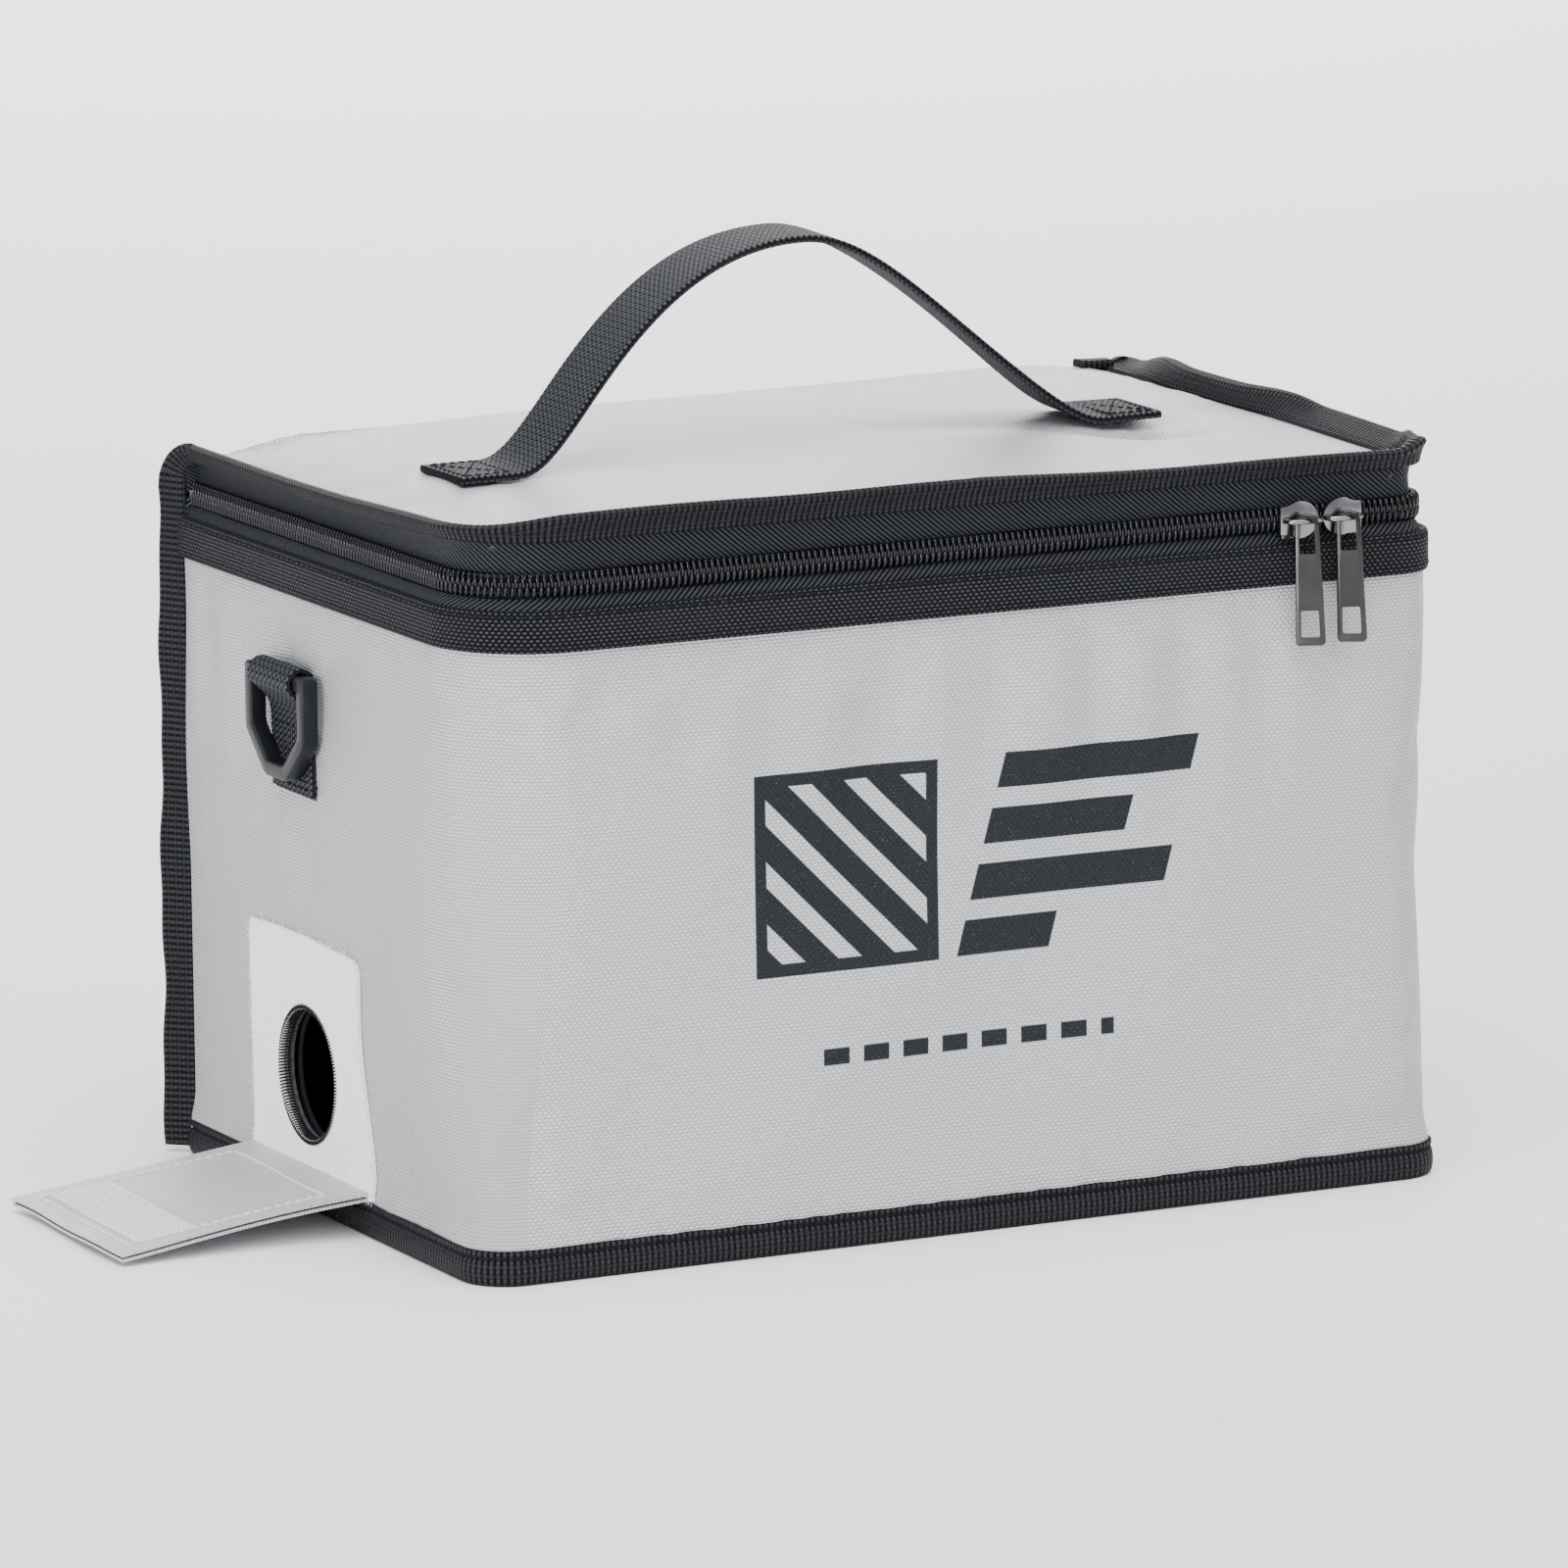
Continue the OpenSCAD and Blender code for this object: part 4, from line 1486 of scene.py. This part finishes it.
class BAG_OT_sliders(bpy.types.Operator):
    """Make the two zip sliders and their pulls"""

    bl_idname = "bag.sliders"
    bl_label = "Sliders"

    def execute(self, context):
        for side, tail in (("left", -1), ("right", 1)):
            slider = self.slider(side, tail)
            dress(slider, "metal", f"slider_{side}", [f"slider_{side}"])
            pull = self.pull(side)
            dress(pull, "dark_metal", f"pull_{side}", [f"pull_{side}"])
        return {"FINISHED"}

    def slider(self, hand, tail):
        node = f"slider_{hand}"
        node_low, node_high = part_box(node)
        half = (node_high.x - node_low.x) / 2 / MM
        upper = [(half, 2.9), (half - 1.6, 3.0), (half - 2.6, 3.35), (half - 3.6, 3.8)]
        upper += [
            (0.3 - 4.6 * math.sin(a), 3.9 * math.cos(a))
            for a in np.linspace(0.0, 1.35, 9)
        ]
        outline = upper + [(-half, 0.0)] + [(a, -b) for a, b in reversed(upper)]
        outline = in_metres(outline)
        face_y, back_y = plate_front(), node_high.y
        deep = back_y - face_y
        wing = plate("wing", outline, 1.1 * MM, 0.28 * MM)
        upright(wing, 0, face_y + 0.55 * MM)
        smaller = [(a * 0.62, b * 0.76) for a, b in outline]
        back = plate("back_wing", smaller, 0.9 * MM, 0.2 * MM)
        upright(back, -0.4 * MM, back_y - 0.5 * MM)
        side = [(-2.6, -0.4), (-1.0, -0.4), (-1.0, 0.4), (-2.6, 0.4)]
        post = plate("post", rounded(side, 0.3), 1.0)
        upright(post, 0, face_y + deep * 0.5, (MM, MM, deep * 0.92))
        end = half - 0.6
        lip = plate("lip", rounded([(-1, -3.7), (end, -3.7), (end, -3.0), (-1, -3.0)], 0.2), 1)
        upright(lip, 0, face_y + 1.9 * MM, (MM, MM, 2.5 * MM))
        reach = face_y - node_low.y
        arch = rounded([(-4.0, 0.9), (-3.7, -reach / MM + 0.5), (3.4, -reach / MM + 0.5),
                        (3.9, 0.9)], 1.3, 6)[4:-3]
        line = [(a * MM, face_y + b * MM, 0) for a, b in arch]
        bridge = wire("bridge", line, 0.56 * MM, 4)
        piece = joined(f"zip_slider_{hand}", [wing, back, post, lip, bridge])
        piece.scale = (tail, 1, 1)
        at_slider(piece, node)
        return faces_out(piece) if tail < 0 else piece

    def pull(self, side):
        """A pull tab: an eye over the bridge, a solid tab and a window near its foot."""
        pivot = joint_place(f"pull_{side}_swing")
        long = 27.0
        foot = 2.5 - long
        eye = [(2.5 * math.sin(a), 2.5 * math.cos(a)) for a in
               np.linspace(-math.pi / 2, math.pi / 2, 13)]
        outer = eye + [(3.05, foot + 0.7), (2.6, foot), (-2.6, foot), (-3.05, foot + 0.7)]
        tab = plate("tab", in_metres(outer), 1.3 * MM, 0.38 * MM, 3)
        slot = [(1.55 * math.sin(a), 0.05 + 1.55 * math.cos(a)) for a in
                np.linspace(-math.pi / 2, math.pi / 2, 9)]
        slot += [(1.65, -5.5), (1.4, -5.75), (-1.4, -5.75), (-1.65, -5.5)]
        window = rounded([(-1.95, -22.8), (1.95, -22.8), (1.85, -17.3), (-1.85, -17.3)],
                         0.5)
        for hole in (slot, window):
            cut(tab, plate("tool", in_metres(hole), 6 * MM))
        tab.name = f"zip_pull_{side}"
        drop = Matrix.Translation((0, 0, (0.5 + 0.3 + 0.9 - 2.5) * MM))
        skew = Matrix.Rotation(math.radians(-35), 4, "Z")
        tilt = Matrix.Rotation(math.radians(-4), 4, "X")
        stand = Matrix.Rotation(math.pi / 2, 4, "X")
        matrix = Matrix.Translation(pivot) @ tilt @ skew @ drop @ stand
        tab.data.transform(matrix)
        tab.data.update()
        return tab


def plate_front():
    """Depth of a slider's front face: its bridge stands out from there."""
    return low("slider_left").y + 3.1 * MM


class BAG_OT_rings(bpy.types.Operator):
    """Make the two D-rings and the webbing loops that hold them"""

    bl_idname = "bag.rings"
    bl_label = "D-rings"

    def execute(self, context):
        for side, sign in (("left", -1), ("right", 1)):
            self.ring(side)
            self.loop(side, sign)
        return {"FINISHED"}

    def ring(self, hand):
        node_low, node_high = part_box(f"d_ring_{hand}")
        centre = centre_of(f"d_ring_{hand}")
        half, tall = (node_high.y - node_low.y) / 2 / MM, (node_high.z - node_low.z) / MM
        top = node_high.z
        outer = [(-half, 0), (half, 0), (half, -tall + 8.5), (5.2, -tall), (-5.2, -tall),
                 (-half, -tall + 8.5)]
        bar_w = 3.1
        side, foot = half - bar_w, -tall + bar_w
        inner = [(-side, -bar_w), (side, -bar_w), (side, -tall + 9.9), (4.0, foot),
                 (-4.0, foot), (-side, -tall + 9.9)]
        thick = node_high.x - node_low.x
        ring = plate("ring", in_metres(rounded(outer, 1.7, 5)), thick)
        hole = plate("hole", in_metres(rounded(inner, 1.1, 4)), 20 * MM)
        cut(ring, hole)
        bevelled(ring, 0.45 * MM, 3, 50)
        ring.name = f"ring_{hand}"
        ring.rotation_euler = (math.pi / 2, 0, math.pi / 2)
        ring.location = (centre.x, centre.y, top)
        place(ring)
        dress(ring, "plastic", f"ring_{hand}", [f"d_ring_{hand}"])

    def loop(self, side, sign):
        node_low, node_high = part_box(f"d_loop_{side}")
        pin = joint_place(f"ring_{side}_swing")
        out = abs(pin.x) - HALF_W
        foot, width = node_low.z, node_high.y - node_low.y
        middle_y = centre_of(f"d_loop_{side}").y
        radius = 2.75 * MM
        line = [(0.55 * MM, foot), (0.55 * MM, foot + 9 * MM), (0.6 * MM, pin.z - 5 * MM),
                (0.8 * MM, pin.z - 2.2 * MM)]
        line += [
            (out - radius * math.cos(a), pin.z + radius * math.sin(a))
            for a in np.linspace(-0.1, math.pi + 0.55, 12)
        ]
        line += [(2.6 * MM, pin.z - 5.2 * MM), (1.6 * MM, pin.z - 8.5 * MM),
                 (1.45 * MM, foot + 9 * MM), (1.45 * MM, foot + 0.6 * MM)]
        flat = smooth_line(line, 90)
        centre = np.column_stack(
            [sign * (HALF_W + flat[:, 0]), np.full(len(flat), middle_y), flat[:, 1]]
        )
        side_way = np.broadcast_to([0.0, 1.0, 0.0], centre.shape)
        piece = strap(f"ring_loop_{side}", centre, side_way, width, 0.85 * MM)
        dress(piece, "strap", "bag", [f"d_loop_{side}"])
        x = sign * (HALF_W + 1.95 * MM)
        edge = width / 2 - 1.6 * MM
        for number, height in enumerate((1.8, 3.4, 14)):
            z = foot + height * MM
            points = np.linspace((x, middle_y - edge, z), (x, middle_y + edge, z), 12)
            stitches(f"loop_stitches_{side}_{number + 1}", points, (sign, 0, 0),
                     "black_thread", "bag")


def on_left_wall(y, z, outset):
    """A point of the settled left wall's cloth at depth y and height z."""
    grid, _ = grids()["walls"]
    rows = grid[:, 0, 2]
    at = np.interp(z, rows, np.arange(len(rows)))
    below = int(min(at, len(rows) - 2))
    share = at - below
    xs = []
    for row in (below, below + 1):
        side = grid[row, : SIDE_N + 1]
        xs.append(np.interp(-y, -side[:, 1], side[:, 0]))
    x = xs[0] * (1 - share) + xs[1] * share
    return (x - outset, y, z)


class BAG_OT_port(bpy.types.Operator):
    """Make the cable port's loop patch, its stitched rim and its flap"""

    bl_idname = "bag.port"
    bl_label = "Cable port"

    def execute(self, context):
        self.patch()
        self.rim()
        self.flap()
        return {"FINISHED"}

    def patch(self):
        node_low, node_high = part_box("port_patch")
        tall = node_high.z - node_low.z
        rows = []
        for share in np.linspace(0, 1, 40):
            z = node_low.z - 0.8 * MM + tall * share
            front = node_low.y + 7 * MM * smoothstep(share, 0, 0.75) - 1.5 * MM
            back = node_high.y + 1.5 * MM * share
            top = max(0.0, share - 0.93) / 0.07
            trim = 2.5 * MM * (1 - math.sqrt(max(0.0, 1 - top**2)))
            line = np.linspace(back - trim * 0.4, front + trim, 46)
            rows.append([on_left_wall(y, z + 0.4 * MM * math.sin(y * 90), 0)
                         for y in line])
        grid = np.array(rows)
        uvs = grid[..., 1:].copy()
        piece = layer("loop_patch", grid, uvs, 0.95 * MM, 0.8 * MM)
        cut(piece, port_cutter(port_diameter()))
        dress(piece, "pile", "bag", ["port_patch"])
        self.fluff(grid)

    def fluff(self, grid):
        """Short loose fibres along the patch's edges."""
        draw = np.random.default_rng(7)
        lines = [grid[:, 0], grid[:, -1], grid[-1], grid[0]]
        model = wire("fibre", [(0, 0, 0), (0.1 * MM, 0, 0.45 * MM),
                               (0.35 * MM, 0, 0.8 * MM)], 0.045 * MM, 0)
        frames = []
        for line in lines:
            for spot in line[1:-1]:
                for _ in range(5):
                    shift = draw.normal(0, 0.35 * MM, 3)
                    out = Vector(draw.normal(0, 1, 3)) + Vector((-1.2, 0, 0))
                    way = Vector(draw.normal(0, 1, 3))
                    centre = Vector(spot) + Vector((-0.75 * MM, shift[1], shift[2]))
                    frames.append(frame_at(centre, way, out))
        piece = repeated("patch_fluff", model, frames)
        dress(piece, "pile", "bag")

    def rim(self):
        """Overlock stitches round the port."""
        centre = centre_of("port_rim")
        radius = port_diameter() / 2
        thread = 0.2 * MM
        model = wire("stitch", [(0, 1.1 * MM, 0.8 * MM), (0.1 * MM, 0.5 * MM, 1.1 * MM),
                                (0.2 * MM, -0.05 * MM, 0.85 * MM),
                                (0.3 * MM, -0.1 * MM, -1.2 * MM)], thread, 1)
        frames = []
        count = 130
        for number in range(count):
            angle = 2 * math.pi * number / count
            y = centre.y + radius * math.cos(angle)
            z = centre.z + radius * math.sin(angle)
            outward = Vector((0, math.cos(angle), math.sin(angle)))
            x = on_left_wall(y, z, 0)[0]
            axis = Vector((-1, 0, 0))
            frames.append(frame_from((x, y, z), outward.cross(axis), outward, axis))
        piece = repeated("port_overlock", model, frames)
        dress(piece, "black_thread", "bag", ["port_rim"], smooth=70)

    def flap(self):
        """The open flap: two layers of cloth, hemmed and sewn, with a dark sheet between them as
        painted shade in the gap.
        """
        node_low, node_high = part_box("port_flap")
        pivot = joint_place("flap_swing")
        tip = Vector((node_low.x + 0.5 * MM, pivot.y, node_low.z + 0.9 * MM))
        length = (tip - pivot).length
        width = node_high.y - node_low.y
        root_x = -HALF_W - 0.9 * MM
        steps = np.linspace(0, 1, 30)
        across = np.linspace(1, -1, 34)
        rows = []
        for s in steps:
            x = root_x + (tip.x - root_x) * s
            z = pivot.z + 0.3 * MM + (tip.z - pivot.z) * s
            z += 0.4 * MM * math.sin(math.pi * s) * (1 - s)
            row = []
            for a in across:
                edge = abs(a) ** 6
                y = pivot.y + a * (width / 2 - 1.2 * MM * math.sin(math.pi * s) * edge)
                lift = (0.2 * math.sin(a * 5 + s * 4) + 0.3 * edge * (1 - s)) * MM * s
                row.append((x + 0.5 * MM * math.sin(a * 3), y, z + lift))
            rows.append(row)
        grid = np.array(rows)[:, ::-1]
        normal = grid_normals(grid)
        if normal[..., 2].mean() < 0:
            grid = grid[:, ::-1]
        uvs = np.stack(np.meshgrid(across * width / 2, steps * length), axis=2)
        parts = (
            ("flap_face", "silver", 0.85, 0.6, slice(None)),
            # painted shade: a narrower dark sheet between the two cloths shows as the shaded gap at
            # the flap's edges
            ("flap_gap_shade", "lining", 0.22, 0.42, slice(1, -1)),
            ("flap_back", "silver", -0.22, 0.6, slice(None)),
        )
        for name, finish, outset, thick, keep in parts:
            part = layer(name, grid[:, keep], uvs[:, keep], outset * MM, thick * MM)
            slot = "lining" if finish == "lining" else "silver_cloth"
            dress(part, finish)
            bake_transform(part)
        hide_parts("port_flap")
        self.hem(grid)
        self.hooks(grid)

    def hem(self, grid):
        """Pale stitches a little inside the flap's edges."""
        normal = grid_normals(grid)
        top = grid + normal * 0.98 * MM
        keep = slice(4, -2)
        runs = {
            "near": top[keep, -4], "far": top[keep, 3], "tip": top[-3, 3:-3],
            "root": top[4, 3:-3],
        }
        for name, line in runs.items():
            stitches(f"hem_stitches_{name}", line, (0, 0, 1), "pale_thread",
                     "flap", share=0.8, pitch=2.2 * MM)

    def hooks(self, grid):
        """A strip of small hooks near the flap's free end."""
        node_low, node_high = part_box("flap_hook")
        normal = grid_normals(grid)
        keep_rows = np.flatnonzero(
            (grid[:, 5, 0] > node_low.x) & (grid[:, 5, 0] < node_high.x)
        )
        keep_columns = np.flatnonzero(
            (grid[5, :, 1] > node_low.y) & (grid[5, :, 1] < node_high.y)
        )
        rows = slice(keep_rows[0], keep_rows[-1] + 1)
        columns = slice(keep_columns[0], keep_columns[-1] + 1)
        base = grid[rows, columns] + normal[rows, columns] * 0.9 * MM
        strip = layer("hook_strip", base, base[..., :2].copy(), 0.25 * MM, 0.3 * MM)
        dress(strip, "hooks", "flap", ["flap_hook"])
        model = wire("hook", [(0, 0, 0), (0, 0, 0.24 * MM), (0.14 * MM, 0, 0.34 * MM),
                              (0.3 * MM, 0, 0.24 * MM)], 0.09 * MM, 0)
        frames = []
        first, last = base.reshape(-1, 3).min(0), base.reshape(-1, 3).max(0)
        for number, x in enumerate(np.arange(first[0] + 1 * MM, last[0], 1.3 * MM)):
            for y in np.arange(first[1] + 1 * MM, last[1] - 0.5 * MM, 1.3 * MM):
                y += 0.65 * MM * (number % 2)
                flat = np.argmin(
                    (base[..., 0] - x) ** 2 + (base[..., 1] - y) ** 2
                )
                z = base.reshape(-1, 3)[flat][2] + 0.2 * MM
                frames.append(frame_at((x, y, z), (1 - 2 * (number % 2), 0, 0),
                                       (0, 0, 1)))
        piece = repeated("hook_field", model, frames)
        dress(piece, "hooks", "flap")


class BAG_OT_handle(bpy.types.Operator):
    """Make the webbing handle and the stitches that hold its ends"""

    bl_idname = "bag.handle"
    bl_label = "Handle"

    def execute(self, context):
        end_low, end_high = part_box("handle_end_right")
        arch_low, arch_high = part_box("handle_arch")
        foot_z = (end_low.z + end_high.z) / 2
        thick = end_high.z - end_low.z
        width = end_high.y - end_low.y
        left_foot, right_foot = high("handle_end_left").x, end_low.x
        crown_x = (left_foot + right_foot) / 2 - 1.5 * MM
        crown_z = arch_high.z - thick / 2
        left = [(left_foot, foot_z), (left_foot + 14 * MM, foot_z),
                (crown_x - 41 * MM, crown_z), (crown_x, crown_z)]
        right = [(crown_x, crown_z), (crown_x + 25 * MM, crown_z),
                 (right_foot - 15 * MM, foot_z), (right_foot, foot_z)]
        line = [(low("handle_end_left").x, foot_z), (left_foot - 3 * MM, foot_z)]
        for curve in (left, right):
            p = np.array(curve)
            for t in np.linspace(0, 1, 22)[:-1]:
                line.append(tuple((1 - t) ** 3 * p[0] + 3 * (1 - t) ** 2 * t * p[1]
                                  + 3 * (1 - t) * t**2 * p[2] + t**3 * p[3]))
        line += [(right_foot, foot_z), (right_foot + 3 * MM, foot_z), (end_high.x, foot_z)]
        flat = smooth_line(line, 170)
        share = smoothstep(flat[:, 1], foot_z + 2 * MM, crown_z)
        # the strap leans a little and twists as it rises
        flat[:, 1] += lid_rise(flat[:, 0], 0.0) * (1 - share)
        sway = share * (1.2 * MM + 1.5 * MM * np.sin(flat[:, 0] * 28))
        centre = np.column_stack([flat[:, 0], sway, flat[:, 1]])
        twist = -0.12 * bump(flat[:, 0], 0, 36 * MM, 0, 26 * MM)
        level = np.broadcast_to([0.0, 1.0, 0.0], centre.shape)
        normal = np.cross(level, directions(centre))
        side = np.cos(twist)[:, None] * level + np.sin(twist)[:, None] * normal
        piece = strap("handle_strap", centre, side, width, thick * 0.85)
        dress(piece, "strap")
        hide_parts("handle_arch", "handle_tail_left", "handle_tail_right",
                    "handle_end_left", "handle_end_right")
        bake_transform(piece)
        for name in ("left", "right"):
            self.end_stitches(name, width)
        return {"FINISHED"}

    def end_stitches(self, name, width):
        """A box of stitches with a cross in it."""
        node_low, node_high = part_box(f"handle_end_{name}")
        z = node_high.z - 0.08 * MM + lid_rise(centre_of(f"handle_end_{name}").x, 0.0)
        left, right = node_low.x + 1.4 * MM, node_high.x - 1.4 * MM
        edge = width / 2 - 1.6 * MM
        corners = [(left, -edge), (right, -edge), (right, edge), (left, edge)]
        runs = [(corners[i], corners[(i + 1) % 4]) for i in range(4)]
        runs += [(corners[0], corners[2]), (corners[1], corners[3])]
        for number, (start, end) in enumerate(runs):
            points = np.linspace((*start, z), (*end, z), 10)
            stitches(f"handle_stitches_{name}_{number + 1}", points, (0, 0, 1),
                     "black_thread", "lid", pitch=2.0 * MM)


# ---------- stage ----------

CAMERA_PLACE = Vector((-1.0107, -2.0359, 0.5035))
CAMERA_YAW, CAMERA_PITCH, CAMERA_ROLL = 26.27, 10.55, -0.57
CAMERA_LENS = 257.07


class BAG_OT_stage(bpy.types.Operator):
    """Make the floor, the lights and the camera"""

    bl_idname = "bag.stage"
    bl_label = "Stage"

    def execute(self, context):
        self.floor()
        self.lights()
        self.camera()
        return {"FINISHED"}

    def floor(self):
        deselect()
        bpy.ops.mesh.primitive_plane_add(size=8, location=(0, 0, 0))
        floor = bpy.context.object
        floor.name = "floor"
        shader = Shader("pale_floor")
        speck = shader.noise(40, 2)
        colour = shader.mix(speck * 0.06, colours().floor, scaled(colours().floor, 0.96))
        floor.data.materials.append(shader.finish(colour, 0.7))
        floor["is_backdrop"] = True

    def lights(self):
        world = bpy.data.worlds.new("studio")
        bpy.context.scene.world = world
        world.use_nodes = True
        sky = world.node_tree.nodes["Background"]
        sky.inputs[0].default_value = (0.96, 0.98, 1.0, 1)
        sky.inputs[1].default_value = 0.6
        sun = bpy.data.lights.new("overhead", "SUN")
        sun.energy = 4.8
        sun.angle = math.radians(70)
        above = linked("overhead", sun)
        above.rotation_euler = Vector((0.06, 0.30, -1)).to_track_quat("-Z", "Y").to_euler()
        for name, place_at, size, power in (
            ("side", (-1.6, -0.8, 0.2), 0.4, 20),
            ("key", (-1.3, -1.6, 1.1), 0.5, 6),
            ("backdrop", (0.9, 2.1, 0.85), 1.3, 24),
            ("right", (1.4, -1.5, 0.9), 0.9, 4),
        ):
            lamp = bpy.data.lights.new(name, "AREA")
            lamp.energy = power
            lamp.size = size
            light = linked(name, lamp)
            light.location = place_at
            aim = Vector((0, 0, 0.08)) - Vector(place_at)
            light.rotation_euler = aim.to_track_quat("-Z", "Y").to_euler()

    def camera(self):
        yaw, pitch, roll = map(math.radians, (CAMERA_YAW, CAMERA_PITCH, CAMERA_ROLL))
        ahead = Vector((math.sin(yaw) * math.cos(pitch), math.cos(yaw) * math.cos(pitch),
                        -math.sin(pitch)))
        level = Vector((math.cos(yaw), -math.sin(yaw), 0))
        top = level.cross(ahead)
        right = level * math.cos(roll) + top * math.sin(roll)
        up = right.cross(ahead)
        data = bpy.data.cameras.new("camera")
        data.lens = CAMERA_LENS
        data.sensor_width = 36
        data.clip_start, data.clip_end = 0.1, 20
        camera = linked("camera", data)
        camera.matrix_world = frame_from(CAMERA_PLACE, right, up, -ahead)
        bpy.context.scene.camera = camera


class BAG_PT_panel(bpy.types.Panel):
    """Buttons for the bag's pieces"""

    bl_label = "Storage bag"
    bl_space_type = "VIEW_3D"
    bl_region_type = "UI"
    bl_category = "Bag"

    def draw(self, context):
        for group in (context.scene.bag_sizes, context.scene.bag_colours):
            for key in group.__annotations__:
                self.layout.prop(group, key)
        for operator in OPERATORS:
            self.layout.operator(operator.bl_idname)


OPERATORS = (
    BAG_OT_stage,
    BAG_OT_walls,
    BAG_OT_back_and_lid,
    BAG_OT_bindings,
    BAG_OT_zip,
    BAG_OT_sliders,
    BAG_OT_rings,
    BAG_OT_port,
    BAG_OT_handle,
)
CLASSES = (BagSizes, BagColours, *OPERATORS, BAG_PT_panel)


def register():
    for item in CLASSES:
        bpy.utils.register_class(item)
    bpy.types.Scene.bag_sizes = PointerProperty(type=BagSizes)
    bpy.types.Scene.bag_colours = PointerProperty(type=BagColours)


def unregister():
    del bpy.types.Scene.bag_sizes
    del bpy.types.Scene.bag_colours
    for item in reversed(CLASSES):
        bpy.utils.unregister_class(item)


def main():
    register()
    bpy.ops.bag.stage()
    bpy.ops.bag.walls()
    bpy.ops.bag.back_and_lid()
    bpy.ops.bag.bindings()
    bpy.ops.bag.zip()
    bpy.ops.bag.sliders()
    bpy.ops.bag.rings()
    bpy.ops.bag.port()
    bpy.ops.bag.handle()
    boxes = {"cad": CAD_BOX, "visual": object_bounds()}
    boxes = {name: [list(corner) for corner in box] for name, box in boxes.items()}


if __name__ == "__main__":
    main()
